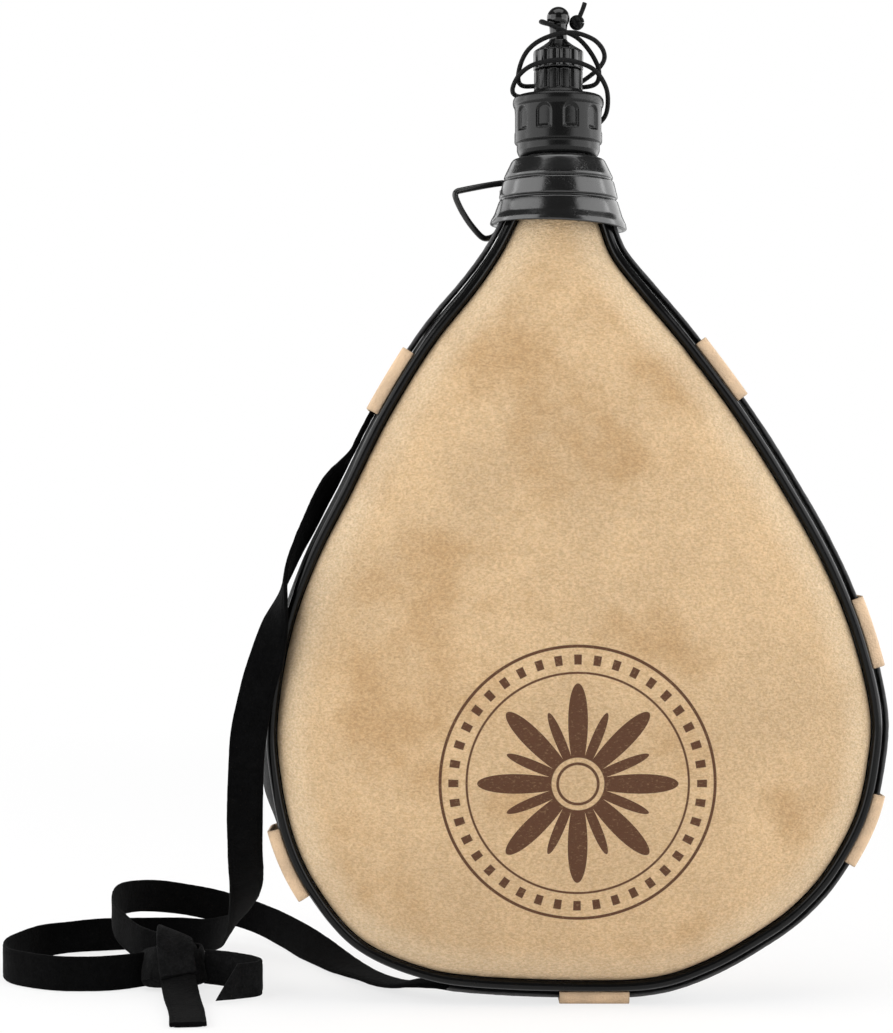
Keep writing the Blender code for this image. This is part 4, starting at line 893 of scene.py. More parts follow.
@dataclass(frozen=True)
class WovenBand(Finish):
    """Black woven band with a plain weave."""

    threads: float = 1500.0
    patch_scale: float = 60.0
    weave_rise: float = 0.00022

    def dress(self, graph: Graph, shader: bpy.types.Node) -> None:
        """Add the weave, with painted shade between its threads, and faint worn patches.

        Args:
            graph: The material's graph.
            shader: Its surface shader.
        """
        weave = graph.group(EFFECTS.weave(), map=graph.surface_map(), threads=self.threads,
                            slant=0.0)
        cloud = graph.group(EFFECTS.mottle(), vector=graph.coordinates(),
                            scale=self.patch_scale)
        # Painted shade: the band is darker where its threads dip.
        colour = graph.mix(weave["Tone"], self.tone(0.35), self.tone(1.25))
        colour = graph.mix(graph.times(cloud["Tone"], 0.4), colour, self.tone(1.8))
        graph.put(shader.inputs["Base Color"], colour)
        shader.inputs["Sheen Weight"].default_value = 0.10
        graph.put(shader.inputs["Normal"], graph.bump(weave["Height"], self.weave_rise))


@dataclass(frozen=True)
class MouldedPlastic(Finish):
    """Black moulded plastic with a satin gloss and marks of handling."""

    gloss: float = 0.30
    waviness: float = 0.00006
    shine: float = 0.5
    rub_scale: float = 160.0
    wave_scale: float = 170.0
    rubbed_tone: float = 2.6
    rubbed_roughness: float = 0.22
    rub_rise: float = 0.00001

    def dress(self, graph: Graph, shader: bpy.types.Node) -> None:
        """Add rub marks and a faint waviness.

        Args:
            graph: The material's graph.
            shader: Its surface shader.
        """
        vector = graph.coordinates()
        rub = graph.group(EFFECTS.rub(), vector=vector, scale=self.rub_scale)
        colour = graph.mix(graph.times(rub["Mask"], 0.7), self.tone(1.0),
                           self.tone(self.rubbed_tone))
        graph.put(shader.inputs["Base Color"], colour)
        graph.put(shader.inputs["Roughness"],
                  graph.span(rub["Mask"], 0.0, 1.0, self.gloss,
                             self.gloss + self.rubbed_roughness))
        shader.inputs["Specular IOR Level"].default_value = self.shine
        waves = graph.bump(graph.noise(vector, self.wave_scale, 2.0, 0.5), self.waviness)
        graph.put(shader.inputs["Normal"], graph.bump(rub["Height"], self.rub_rise, waves))


@dataclass(frozen=True)
class Braid(Finish):
    """Black braided cord."""

    threads: float = 1400.0
    slant: float = 0.6
    weave_rise: float = 0.00022

    def dress(self, graph: Graph, shader: bpy.types.Node) -> None:
        """Add the braid, with painted shade between its threads.

        Args:
            graph: The material's graph.
            shader: Its surface shader.
        """
        weave = graph.group(EFFECTS.weave(), map=graph.surface_map(), threads=self.threads,
                            slant=self.slant)
        # Painted shade: the cord is darker where its threads dip.
        colour = graph.mix(weave["Tone"], self.tone(0.4), self.tone(1.6))
        graph.put(shader.inputs["Base Color"], colour)
        shader.inputs["Specular IOR Level"].default_value = 0.22
        graph.put(shader.inputs["Normal"], graph.bump(weave["Height"], self.weave_rise))


@dataclass(frozen=True)
class PlainGrain(Finish):
    """Rubber, metal or plastic of a hidden piece, with a light grain."""

    metallic: float = 0.0
    patch_scale: float = 180.0
    rub_scale: float = 300.0
    rubbed_roughness: float = 0.15
    rub_rise: float = 0.00002

    def dress(self, graph: Graph, shader: bpy.types.Node) -> None:
        """Add patches and a grain.

        Args:
            graph: The material's graph.
            shader: Its surface shader.
        """
        vector = graph.coordinates()
        cloud = graph.group(EFFECTS.mottle(), vector=vector, scale=self.patch_scale)
        rub = graph.group(EFFECTS.rub(), vector=vector, scale=self.rub_scale)
        graph.put(shader.inputs["Base Color"],
                  graph.mix(cloud["Tone"], self.tone(0.85), self.tone(1.12)))
        shader.inputs["Metallic"].default_value = self.metallic
        graph.put(shader.inputs["Roughness"],
                  graph.span(rub["Mask"], 0.0, 1.0, self.roughness,
                             self.roughness + self.rubbed_roughness))
        graph.put(shader.inputs["Normal"], graph.bump(rub["Height"], self.rub_rise))


SUEDE = SuedePanel("light_suede", (0.678, 0.476, 0.276), 0.9)
HIDE = LoopHide("strap_loop_hide", (0.66, 0.47, 0.30), 0.7)
STRAP_NAP = BrushedStrap("brushed_strap", (0.0022, 0.0022, 0.0023), 0.95)
# Painted light: a lighter copy of the brushed strap for the knot and the right tail, whose faces are
# lit from above.
TOP_LIT_KNOT_NAP = BrushedStrap("knot_nap_painted_top_light", (0.0070, 0.0070, 0.0072), 0.95)
# Smooth face of the held runs: partly a real smoother face, partly painted light, its colour lifted
# to the grey that side light gives it at a grazing angle.
SIDE_LIT_SMOOTH_STRAP = MouldedPlastic("smooth_strap_face_side_lit", (0.040, 0.040, 0.041), 0.5, 0.46, 0.00004)
BAND = WovenBand("woven_band", (0.010, 0.010, 0.0105), 0.8)
GLOSS_BEAD = MouldedPlastic("bead_vinyl", (0.002, 0.002, 0.002), 0.2, 0.17, 0.00008, 0.22)
SATIN_BLACK = MouldedPlastic("satin_black", (0.003, 0.003, 0.003), 0.3, 0.27, 0.00005, 0.28)
STOPPER_GLOSS = MouldedPlastic("stopper_gloss", (0.002, 0.002, 0.002), 0.2, 0.13, 0.00005, 0.45)
COLLAR_GLOSS = MouldedPlastic("collar_gloss", (0.002, 0.002, 0.002), 0.2, 0.19, 0.00009, 0.85)
COATED_WIRE = MouldedPlastic("coated_wire", (0.005, 0.005, 0.005), 0.3, 0.30, 0.00003)
BRAID = Braid("braided_cord", (0.0026, 0.0026, 0.0028), 0.75)
BLADDER = PlainGrain("bladder_rubber", (0.16, 0.09, 0.05), 0.6)
BAND_STEEL = PlainGrain("clamp_steel_band", (0.62, 0.62, 0.64), 0.32, 1.0)
SEAL_RED = PlainGrain("seal_ring_rubber", (0.30, 0.04, 0.03), 0.6)
SPOUT_GREY = PlainGrain("spout_moulding", (0.020, 0.020, 0.021), 0.42)


# Pieces


class Workshop:
    """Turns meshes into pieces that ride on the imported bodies."""

    def __init__(self) -> None:
        """Start with no piece."""
        self.made: list[bpy.types.Object] = []

    def piece(self, name: str, cage: Cage, finish: Finish, slot: Slot,
              body: Body | None, replaced: Sequence[str] = ()) -> bpy.types.Object:
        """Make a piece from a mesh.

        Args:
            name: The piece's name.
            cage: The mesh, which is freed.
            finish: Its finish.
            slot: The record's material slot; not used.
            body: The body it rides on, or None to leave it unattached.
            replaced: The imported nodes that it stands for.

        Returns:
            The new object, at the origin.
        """
        mesh = bpy.data.meshes.new(name)
        cage.to_mesh(mesh)
        cage.free()
        mesh.shade_smooth()
        mesh.materials.append(finish.material())
        item = bpy.data.objects.new(name, mesh)
        bpy.context.scene.collection.objects.link(item)
        if replaced:
            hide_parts(*replaced)
        if body is not None:
            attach(item, body.value)
        self.made.append(item)
        LOG.info("%s: %d faces", name, len(mesh.polygons))
        return item

    def keep_node(self, node: str, finish: Finish, slot: Slot) -> None:
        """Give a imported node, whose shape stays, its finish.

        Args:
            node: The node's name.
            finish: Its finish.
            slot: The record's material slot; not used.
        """
        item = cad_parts[node]
        for index in range(max(1, len(item.material_slots))):
            if not item.material_slots:
                item.data.materials.append(finish.material())
            else:
                item.material_slots[index].material = finish.material()
        LOG.info("%s: packed node, dressed", node)


def add_measure(item: bpy.types.Object, name: str, values: Array) -> None:
    """Store a value for each point of a mesh."""
    layer = item.data.attributes.new(name, "FLOAT", "POINT")
    layer.data.foreach_set("value", values.astype(np.float32))


def points_of(item: bpy.types.Object) -> Array:
    """Give a mesh's points, one a row.

    Args:
        item: The mesh's object.

    Returns:
        The points.
    """
    flat = np.zeros(len(item.data.vertices) * 3, np.float32)
    item.data.vertices.foreach_get("co", flat)
    return flat.reshape(-1, 3).astype(float)


def thicken(item: bpy.types.Object, thickness: float) -> None:
    """Give a sheet its thickness, all of it inwards.

    Args:
        item: The sheet.
        thickness: The wall.
    """
    solid = item.modifiers.new("Wall", "SOLIDIFY")
    solid.thickness = thickness
    solid.offset = -1.0
    solid.use_even_offset = True


@dataclass
class Outline:
    """The leather's edge, from the neck's left end round to its right one, and its gusset."""

    corners: tuple[Pair, ...] = (
        (-0.0217, 0.2760), (-0.0222, 0.2704), (-0.0259, 0.2626), (-0.0319, 0.2511),
        (-0.0405, 0.2385), (-0.0546, 0.2206), (-0.0693, 0.1965), (-0.0814, 0.1722),
        (-0.0935, 0.1481), (-0.1018, 0.1240), (-0.1061, 0.0980), (-0.1057, 0.0801),
        (-0.1012, 0.0574), (-0.0928, 0.0394), (-0.0787, 0.0226), (-0.0587, 0.0132),
        (-0.0381, 0.0097), (0.0000, 0.0084), (0.0213, 0.0097), (0.0380, 0.0154),
        (0.0543, 0.0245), (0.0665, 0.0333), (0.0775, 0.0456), (0.0873, 0.0635),
        (0.0916, 0.0817), (0.0923, 0.0991), (0.0863, 0.1240), (0.0765, 0.1481),
        (0.0631, 0.1722), (0.0477, 0.1965), (0.0299, 0.2206), (0.0152, 0.2385),
        (0.0059, 0.2511), (0.0015, 0.2626), (-0.0013, 0.2704), (-0.0017, 0.2760))
    seam_depth: float = 0.0110
    neck_seam_depth: float = 0.0072
    taper_start: float = 0.0140
    taper_end: float = 0.0550
    band_out: float = 0.0030
    band_bulge: float = 0.0022
    neck_bulge: float = 0.0010

    def __post_init__(self) -> None:
        """Sample the edge."""
        self.track = Track([(across, 0.0, height) for across, height in self.corners])
        self.length = self.track.length

    def outward(self, distance: Array) -> Array:
        """Give the way out of the bag at distances."""
        way = self.track.way(distance)
        return np.stack([way[:, 2], np.zeros(len(way)), -way[:, 0]], -1)

    def spot(self, distance: Array, out: Array, depth: Array) -> Array:
        """Give places beside the edge.

        Args:
            distance: Distances along the edge.
            out: How far out of the bag.
            depth: How far behind its middle plane.

        Returns:
            The places, one a row.
        """
        away = self.outward(distance) * np.broadcast_to(out, distance.shape)[:, None]
        back = DEPTH_AXIS * np.broadcast_to(depth, distance.shape)[:, None]
        return self.track.place(distance) + away + back

    def taper(self, distance: Array) -> Array:
        """Run from 0 at the neck to 1 below it."""
        near = np.minimum(distance, self.length - distance)
        return ease(near, self.taper_start, self.taper_end)

    def seam(self, distance: Array) -> Array:
        """Give the seam's distance from the middle plane."""
        return (self.neck_seam_depth
                + (self.seam_depth - self.neck_seam_depth) * self.taper(distance))

    def held_bulge(self, distance: Array) -> Array:
        """Give the gusset's rise in its middle where the strap holds it down."""
        return self.neck_bulge + (self.band_bulge - self.neck_bulge) * self.taper(distance)


@dataclass
class LeatherShell:
    """The two domed panels of suede."""

    outline: Outline
    workshop: Workshop
    dome_height: float = 0.0210
    thickness: float = 0.0015
    set_back: float = 0.0006
    left_corner: float = 0.395
    right_corner: float = 0.593
    low_start: float = 0.62
    squareness: float = 2.4
    roundness: float = 0.75
    slack: float = 0.0006
    dent_waves: float = 22.0
    crease_waves: float = 60.0
    crease_share: float = 0.35
    slack_reach: Pair = (0.1, 0.7)
    columns: int = 96
    rows: int = 150
    map_size: Pair = (0.2, 0.27)
    dome_line: tuple[Pair, ...] = (
        (0.000, 0.260), (0.050, 0.330), (0.100, 0.400), (0.165, 0.500), (0.255, 0.640),
        (0.355, 0.785), (0.475, 0.905), (0.590, 0.975), (0.700, 1.000), (1.000, 1.000))

    def flat_place(self, across: Array, down: Array) -> Array:
        """Give places in the middle plane between the panel's edges.

        Args:
            across: Shares across.
            down: Shares down.

        Returns:
            The places, one a row.
        """
        length = self.outline.length
        left_corner = length * self.left_corner
        right_corner = length * self.right_corner
        spot = self.outline.track.place
        left = spot(left_corner * down)
        right = spot(length + (right_corner - length) * down)
        low = spot(left_corner + (right_corner - left_corner) * across)
        low_left, low_right = spot(np.array([left_corner, right_corner]))
        share = across[:, None]
        bend = low - low_left * (1 - share) - low_right * share
        return left * (1 - share) + right * share + bend * down[:, None]

    def height(self, across: Array, down: Array) -> Array:
        """Give the share of the dome's height.

        Args:
            across: Shares across.
            down: Shares down.

        Returns:
            0 at the edge to 1 at the crown.
        """
        line = Track.sample(self.dome_line)
        middle = np.interp(down, line[:, 0], line[:, 1])
        side = np.maximum(1 - np.abs(2 * across - 1) ** self.squareness, 0) ** self.roundness
        past = np.maximum((down - self.low_start) / (1 - self.low_start), 0)
        low = np.maximum(1 - past ** self.squareness, 0) ** self.roundness
        return middle * side * low

    def seam_distance(self, spots: Array) -> Array:
        """Give how far points are from the edge, seen from the front.

        Args:
            spots: Points, one a row.

        Returns:
            The distance for each point.
        """
        line = self.outline.track.places[::2]
        tree = KDTree(len(line))
        for index, spot in enumerate(line):
            tree.insert(spot, index)
        tree.balance()
        return np.array([tree.find((spot[0], 0.0, spot[2]))[2] for spot in spots])

    def make(self, name: str, side: Side) -> bpy.types.Object:
        """Make one panel.

        Args:
            name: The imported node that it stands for.
            side: Front or back.

        Returns:
            The panel.
        """
        def place(across: Array, down: Array) -> Array:
            """Dome the panel's points.

            Args:
                across: Shares across.
                down: Shares down.

            Returns:
                The places, one a row.
            """
            across = (1 - np.cos(math.pi * across)) / 2
            down = (1 - np.cos(math.pi * down)) / 2
            flat = self.flat_place(across, down)
            rise = self.height(across, down)
            length = self.outline.length
            left = self.outline.seam(length * self.left_corner * down)
            right = self.outline.seam(length * (1 - self.right_corner) * down)
            depth = left * (1 - across) + right * across - self.set_back
            inner = ease(rise, *self.slack_reach)
            loose = unevenness(flat, self.dent_waves, 3.0 + side.value) * self.slack
            loose += unevenness(flat, self.crease_waves, 7.0) * self.slack * self.crease_share
            depth = depth + self.dome_height * rise + loose * inner
            return flat + DEPTH_AXIS * (side.value * depth)[:, None]

        cage = mapped_grid(self.columns, self.rows, place, *self.map_size)
        facing = sum(face.normal.y for face in cage.faces)
        if facing * side.value < 0:
            bmesh.ops.reverse_faces(cage, faces=cage.faces)
        item = self.workshop.piece(name + "_suede", cage, SUEDE, Slot.TAN_LEATHER, Body.BAG,
                                   [name])
        add_measure(item, "seam_distance", self.seam_distance(points_of(item)))
        thicken(item, self.thickness)
        return item

    def build(self) -> None:
        """Make both panels and dress the liner."""
        self.make("front_leather_panel", Side.FRONT)
        self.make("back_leather_panel", Side.BACK)
        self.workshop.keep_node("liner", BLADDER, Slot.LINER)


@dataclass
class EdgeBand:
    """The woven gusset, the glossy beads and the hide loops along the edge."""

    outline: Outline
    workshop: Workshop
    bead_radius: float = 0.0017
    bead_out: float = 0.0020
    bead_setback: float = 0.0070
    bead_gap: float = 0.0003
    bead_points: int = 260
    bead_faces: tuple[int, int] = (18, 700)
    bead_swell: float = 0.03
    swell_waves: Pair = (210.0, 77.0)
    free_bulge: float = 0.0041
    free_ease: float = 0.014
    band_width: float = 0.019
    band_thickness: float = 0.0012
    band_faces: tuple[int, int] = (16, 420)
    loop_length: float = 0.0235
    loop_thickness: float = 0.0010
    loop_foot_out: float = 0.00395
    loop_foot_depth: float = 0.0104
    loop_out: float = 0.0084
    loop_faces: tuple[int, int] = (44, 26)
    loop_bend: tuple[Pair, ...] = (
        (0.0, 1.0), (0.30, 1.0), (0.58, 0.98), (0.80, 0.94), (0.95, 0.84), (1.0, 0.72),
        (1.0, 0.40))
    cut_fade: float = 0.0008
    cut_round: float = 0.00022
    cut_angle: float = math.radians(50)
    band_middle: Triple = (0.0, 0.0, 0.1)
    loop_middle: Triple = (0.0, 0.0, 0.12)

    def bulge(self, distance: Array) -> Array:
        """Give the band's rise in its middle, more between the two lower loops on the left.

        Args:
            distance: Distances along the edge.

        Returns:
            The rise at each distance.
        """
        start = self.outline.length * LOOP_SHARES["loop_left_middle"] + self.loop_length / 2
        end = self.outline.length * LOOP_SHARES["loop_left_lower"] - self.loop_length / 2
        free = (ease(distance, start, start + self.free_ease)
                - ease(distance, end - self.free_ease, end))
        more = self.free_bulge - self.outline.band_bulge
        return self.outline.held_bulge(distance) + more * free

    def make_band(self) -> None:
        """Make the woven band between the two seams."""
        def place(across: Array, along: Array) -> Array:
            """Put the band's points in their places.

            Args:
                across: Shares across.
                along: Shares along.

            Returns:
                The places, one a row.
            """
            distance = along * self.outline.length
            share = 1 - 2 * across
            reach = (self.outline.seam(distance) - self.bead_radius - self.bead_gap) * share
            out = self.outline.band_out + self.bulge(distance) * (1 - share ** 2)
            return self.outline.spot(distance, out, reach)

        cage = mapped_grid(*self.band_faces, place, self.band_width, self.outline.length)
        bmesh.ops.recalc_face_normals(cage, faces=cage.faces)
        face_away(cage, cage.faces[len(cage.faces) // 4], self.band_middle)
        item = self.workshop.piece("gusset_band_woven", cage, BAND, Slot.GUSSET, Body.BAG,
                                   ["gusset_band"])
        thicken(item, self.band_thickness)

    def make_bead(self, name: str, side: Side) -> None:
        """Make the bead along one seam.

        Args:
            name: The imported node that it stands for.
            side: Front or back.
        """
        start = self.bead_setback
        end = self.outline.length - self.bead_setback
        distances = np.linspace(start, end, self.bead_points)
        depths = self.outline.seam(distances) * side.value
        track = Track(self.outline.spot(distances, self.bead_out, depths))

        def shaping(distance: Array, wide: Array, thick: Array) -> tuple[Array, Array]:
            """Swell and narrow the bead a little.

            Args:
                distance: Distances along the line.
                wide: Offsets across.
                thick: Offsets through.

            Returns:
                The swollen offsets.
            """
            fast, slow = (np.sin(distance * waves) for waves in self.swell_waves)
            swell = 1 + self.bead_swell * fast * slow
            return wide * swell, thick * swell

        cage = swept(track, *self.bead_faces, 2 * self.bead_radius, 2 * self.bead_radius, 1.0,
                     steady(DEPTH_AXIS), shaping)
        self.workshop.piece(name + "_vinyl", cage, GLOSS_BEAD, Slot.BEAD, Body.BAG, [name])

    def loop_line(self) -> Track:
        """Give a loop's outer line, as how far out and how deep.

        Returns:
            The line, from the front foot to the back one.
        """
        rise = self.loop_out - self.loop_foot_out
        half = [(self.loop_foot_out + rise * out, self.loop_foot_depth * depth)
                for out, depth in self.loop_bend]
        line = half + [(out, -depth) for out, depth in reversed(half)]
        return Track([(out, depth, 0.0) for out, depth in line])

    def make_loop(self, name: str, share: float | None) -> None:
        """Make a strap loop.

        Args:
            name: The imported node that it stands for.
            share: Its place along the edge, or None for the one that the bag stands on.
        """
        line = self.loop_line()
        cuts: list[Array] = []

        def place(across: Array, along: Array) -> Array:
            """Bend the strip over the edge.

            Args:
                across: Shares across.
                along: Shares along.

            Returns:
                The places, one a row.
            """
            spots = line.place(across * line.length)
            out, depth = spots[:, 0], spots[:, 1]
            ends = np.minimum(across, 1 - across) * line.length
            sides = np.minimum(along, 1 - along) * self.loop_length
            cuts.append(np.exp(-np.minimum(ends, sides) / self.cut_fade))
            if share is None:
                return np.stack([(along - 0.5) * self.loop_length, depth,
                                 self.loop_out - out], -1)
            distance = self.outline.length * share + (along - 0.5) * self.loop_length
            return self.outline.spot(distance, out, depth)

        cage = mapped_grid(*self.loop_faces, place, line.length, self.loop_length)
        bmesh.ops.recalc_face_normals(cage, faces=cage.faces)
        middle = Vector(self.loop_middle)
        crown = max(cage.faces, key=lambda face: (face.calc_center_median() - middle).length)
        face_away(cage, crown, self.loop_middle)
        item = self.workshop.piece(name + "_hide", cage, HIDE, Slot.LOOP_LEATHER, Body.BAG,
                                   [name])
        add_measure(item, "cut_nearness", cuts[0])
        thicken(item, self.loop_thickness)
        edge = item.modifiers.new("Edge", "BEVEL")
        edge.width = self.cut_round
        edge.segments = 2
        edge.limit_method = "ANGLE"
        edge.angle_limit = self.cut_angle

    def build(self) -> None:
        """Make the band, both beads and every loop."""
        self.make_band()
        self.make_bead("front_edge_trim", Side.FRONT)
        self.make_bead("back_edge_trim", Side.BACK)
        for name, share in LOOP_SHARES.items():
            self.make_loop(name, share)
        self.make_loop("loop_bottom", None)


@dataclass
class ShoulderStrap:
    """The brushed strap: two held runs, two free runs, the knot and its tails."""

    outline: Outline
    workshop: Workshop
    width: float = 0.0120
    thickness: float = 0.0016
    squareness: float = 0.42
    around: int = 40
    lift: float = 0.0003
    seam_lap: float = 0.0009
    setback: float = 0.0088
    left_end: float = 0.10375
    low_start: float = 0.31592
    row_step: float = 0.0012
    fold_step: float = 0.0006
    route_step: float = 0.003
    least_rows: int = 24
    cut_reach: float = 0.020
    fine_waves: float = 520.0
    broad_waves: float = 130.0
    sway_waves: float = 70.0
    fine_rise: float = 0.00010
    broad_rise: float = 0.00012
    edge_rise: float = 0.00008
    drift: float = 0.0002
    sway: float = 0.035
    seam_place: float = 0.80
    seam_width: float = 0.05
    seam_sink: float = 0.00016
    held_looseness: float = 0.15
    knot_floor: float = 0.0003
    core_faces: tuple[int, int] = (40, 24)
    core_squareness: float = 0.62
    core_waves: float = 240.0
    core_rise: float = 0.0006
    ring_reach: Pair = (0.0097, 0.0080)
    ring_height: float = 0.0078
    ring_rise: float = 0.0008
    ring_squareness: float = 0.7
    ring_lean: float = -0.20
    ring_steps: int = 24
    ring_start: float = -60.0
    ring_phase: float = 0.8
    fold_widths: tuple[float, ...] = (0.0116, 0.0126, 0.0110)
    fold_seeds: tuple[float, ...] = (2.0, 5.0, 9.0)
    slanted_ends: dict[str, tuple[tuple[float, ...], tuple[float, ...]]] = field(
        default_factory=lambda: {
            "strap_tail_right": ((-0.1272, -0.0100, 0.0016), (-0.82, -0.12, 0.56))})
    core_size: Triple = (0.0076, 0.0072, 0.0070)
    top_fold: Route = (
        ((-0.1452, 0.0300, 0.0060), (0.95, 0.05, -0.30)),
        ((-0.1452, 0.0306, 0.0115), (0.94, 0.05, -0.33)),
        ((-0.1450, 0.0278, 0.0166), (0.92, 0.05, -0.38)),
        ((-0.1448, 0.0222, 0.0186), (0.92, 0.06, -0.38)),
        ((-0.1442, 0.0162, 0.0174), (0.93, 0.08, -0.34)),
        ((-0.1432, 0.0116, 0.0138), (0.96, 0.12, -0.22)),
        ((-0.1424, 0.0088, 0.0096), (0.98, 0.14, -0.06)),
        ((-0.1416, 0.0066, 0.0066), (0.98, 0.12, 0.04)))
    side_fold: Route = (
        ((-0.1556, 0.0196, 0.0068), (0.05, 0.10, 1.00)),
        ((-0.1536, 0.0160, 0.0088), (0.20, 0.10, 0.95)),
        ((-0.1504, 0.0122, 0.0098), (0.45, -0.10, 0.88)),
        ((-0.1462, 0.0112, 0.0082), (0.62, -0.05, 0.78)),
        ((-0.1424, 0.0116, 0.0062), (0.60, 0.05, 0.80)))
    knot_centre: Triple = (-0.1440, 0.0205, 0.0092)
    hanging_route: Route = (
        ((-0.07974, 0.0, 0.18996), (0.0, -1.0, 0.0)),
        ((-0.08183, 0.0, 0.18575), (0.0, -1.0, 0.0)),
        ((-0.0881, -0.0004, 0.1772), (-0.32, -0.93, 0.16)),
        ((-0.0923, -0.0012, 0.1698), (-0.36, -0.92, 0.18)),
        ((-0.0963, -0.0030, 0.1613), (-0.31, -0.94, 0.15)),
        ((-0.1002, -0.0062, 0.1529), (-0.22, -0.97, 0.10)),
        ((-0.1033, -0.0100, 0.1441), (-0.05, -1.00, 0.03)),
        ((-0.1052, -0.0128, 0.1360), (0.35, -0.94, 0.00)),
        ((-0.1072, -0.0146, 0.1270), (0.80, -0.60, 0.00)),
        ((-0.1096, -0.0156, 0.1170), (0.96, -0.28, 0.00)),
        ((-0.1127, -0.0162, 0.1060), (1.00, -0.08, 0.00)),
        ((-0.1158, -0.0165, 0.0896), (1.00, 0.00, 0.00)),
        ((-0.1170, -0.0140, 0.0693), (1.00, 0.00, 0.00)),
        ((-0.1180, -0.0020, 0.0509), (1.00, 0.10, 0.05)),
        ((-0.1196, 0.0200, 0.0338), (0.90, 0.20, 0.35)),
        ((-0.1256, 0.0500, 0.0175), (0.60, 0.00, 0.80)),
        ((-0.1363, 0.0760, 0.0085), (0.20, 0.00, 1.00)),
        ((-0.1505, 0.0880, 0.0066), UPRIGHT),
        ((-0.1656, 0.0900, 0.0063), UPRIGHT),
        ((-0.1839, 0.0860, 0.0063), UPRIGHT),
        ((-0.1990, 0.0750, 0.0063), UPRIGHT),
        ((-0.2060, 0.0580, 0.0063), UPRIGHT),
        ((-0.2073, 0.0420, 0.0063), UPRIGHT),
        ((-0.2040, 0.0280, 0.0063), UPRIGHT),
        ((-0.1945, 0.0180, 0.0063), UPRIGHT),
        ((-0.1829, 0.0120, 0.0063), UPRIGHT),
        ((-0.1710, 0.0115, 0.0063), UPRIGHT),
        ((-0.1615, 0.0150, 0.0063), UPRIGHT),
        ((-0.1548, 0.0190, 0.0065), UPRIGHT))
    back_route: Route = (
        ((-0.0491, 0.0, 0.00462), (0.0, 1.0, 0.0)),
        ((-0.05375, 0.0, 0.00529), (0.0, 1.0, 0.0)),
        ((-0.0605, 0.0035, 0.0048), (0.35, 1.00, 0.00)),
        ((-0.0675, 0.0120, 0.0028), (0.75, 0.60, 0.00)),
        ((-0.0770, 0.0290, 0.0020), (0.90, 0.45, 0.00)),
        ((-0.0870, 0.0480, 0.0024), (0.85, 0.45, 0.20)),
        ((-0.0985, 0.0700, 0.0045), (0.65, 0.30, 0.60)),
        ((-0.1110, 0.0920, 0.0070), (0.25, 0.10, 1.00)),
        ((-0.1250, 0.1080, 0.0100), UPRIGHT),
        ((-0.1430, 0.1130, 0.0140), UPRIGHT),
        ((-0.1600, 0.1080, 0.0175), UPRIGHT),
        ((-0.1700, 0.0960, 0.0192), UPRIGHT),
        ((-0.1735, 0.0820, 0.0190), UPRIGHT),
        ((-0.1715, 0.0640, 0.0165), UPRIGHT),
        ((-0.1645, 0.0480, 0.0135), UPRIGHT),
        ((-0.1580, 0.0370, 0.0120), UPRIGHT),
        ((-0.1512, 0.0292, 0.0113), UPRIGHT))
    front_tail: Route = (
        ((-0.1424, 0.0101, 0.0072), (1.00, 0.00, 0.10)),
        ((-0.1412, 0.0040, 0.0049), (1.00, 0.05, 0.08)),
        ((-0.1385, -0.0100, 0.0026), (0.98, 0.18, 0.05)),
        ((-0.1350, -0.0280, 0.0014), (0.97, 0.20, 0.00)),
        ((-0.1325, -0.0460, 0.0011), (0.98, 0.12, 0.00)))
    right_tail: Route = (
        ((-0.1337, 0.0184, 0.0075), UPRIGHT),
        ((-0.1255, 0.0155, 0.0072), UPRIGHT),
        ((-0.1180, 0.0105, 0.0070), UPRIGHT),
        ((-0.1140, 0.0060, 0.0068), UPRIGHT),
        ((-0.1132, 0.0025, 0.0068), UPRIGHT),
        ((-0.1150, -0.0010, 0.0068), UPRIGHT),
        ((-0.1205, -0.0055, 0.0070), UPRIGHT),
        ((-0.1275, -0.0105, 0.0074), (0.00, 0.10, 1.00)))

    def rows(self, track: Track) -> int:
        """Give how many rows of faces a length of strap gets."""
        return max(self.least_rows, round(track.length / self.row_step))

    def ribbon(self, name: str, track: Track, finish: Finish, across_way: Ways,
               loose: float) -> bpy.types.Object:
        """Make a length of strap.

        Args:
            name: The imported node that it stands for.
            track: The strap's middle line.
            finish: How its visible side is finished.
            across_way: Gives the way that its width points.
            loose: Share of the full unevenness, less where it lies in a loop.

        Returns:
            The strap, riding on the bag.
        """
        rows = self.rows(track)

        def shaping(distance: Array, wide: Array, thick: Array) -> tuple[Array, Array]:
            """Roughen the strap and sink its seams.

            Args:
                distance: Distances along the line.
                wide: Offsets across.
                thick: Offsets through.

            Returns:
                The uneven offsets.
            """
            spots = np.stack([wide, thick * 4, distance], -1)
            rough = unevenness(spots, self.fine_waves, len(name) * 1.3)
            broad = unevenness(spots * [1, 1, 0.6], self.broad_waves, len(name) * 2.1)
            share = np.abs(wide) / (self.width / 2)
            seam = np.exp(-((share - self.seam_place) / self.seam_width) ** 2)
            side = np.sign(thick)
            grow = rough * self.fine_rise + broad * self.broad_rise - seam * self.seam_sink
            line = np.stack([distance, distance * 0, distance * 0], -1)
            sway = unevenness(line, self.sway_waves, len(name))
            wide = wide * (1 + self.sway * sway * loose) + rough * self.edge_rise
            return wide, thick + side * grow + broad * self.drift * loose

        cage = swept(track, self.around, rows, self.width, self.thickness, self.squareness,
                     across_way, shaping)
        if name in self.slanted_ends:
            place, away = self.slanted_ends[name]
            near = {vertex for vertex in cage.verts
                    if (vertex.co - Vector(place)).length < self.cut_reach}
            parts = [part for part in [*cage.edges, *cage.faces] if near.issuperset(part.verts)]
            bmesh.ops.bisect_plane(cage, geom=[*near, *parts], plane_co=place, plane_no=away,
                                   clear_outer=True)
            close_ends(cage)
        return self.workshop.piece(name + "_nap", cage, finish, Slot.STRAP, Body.BAG, [name])

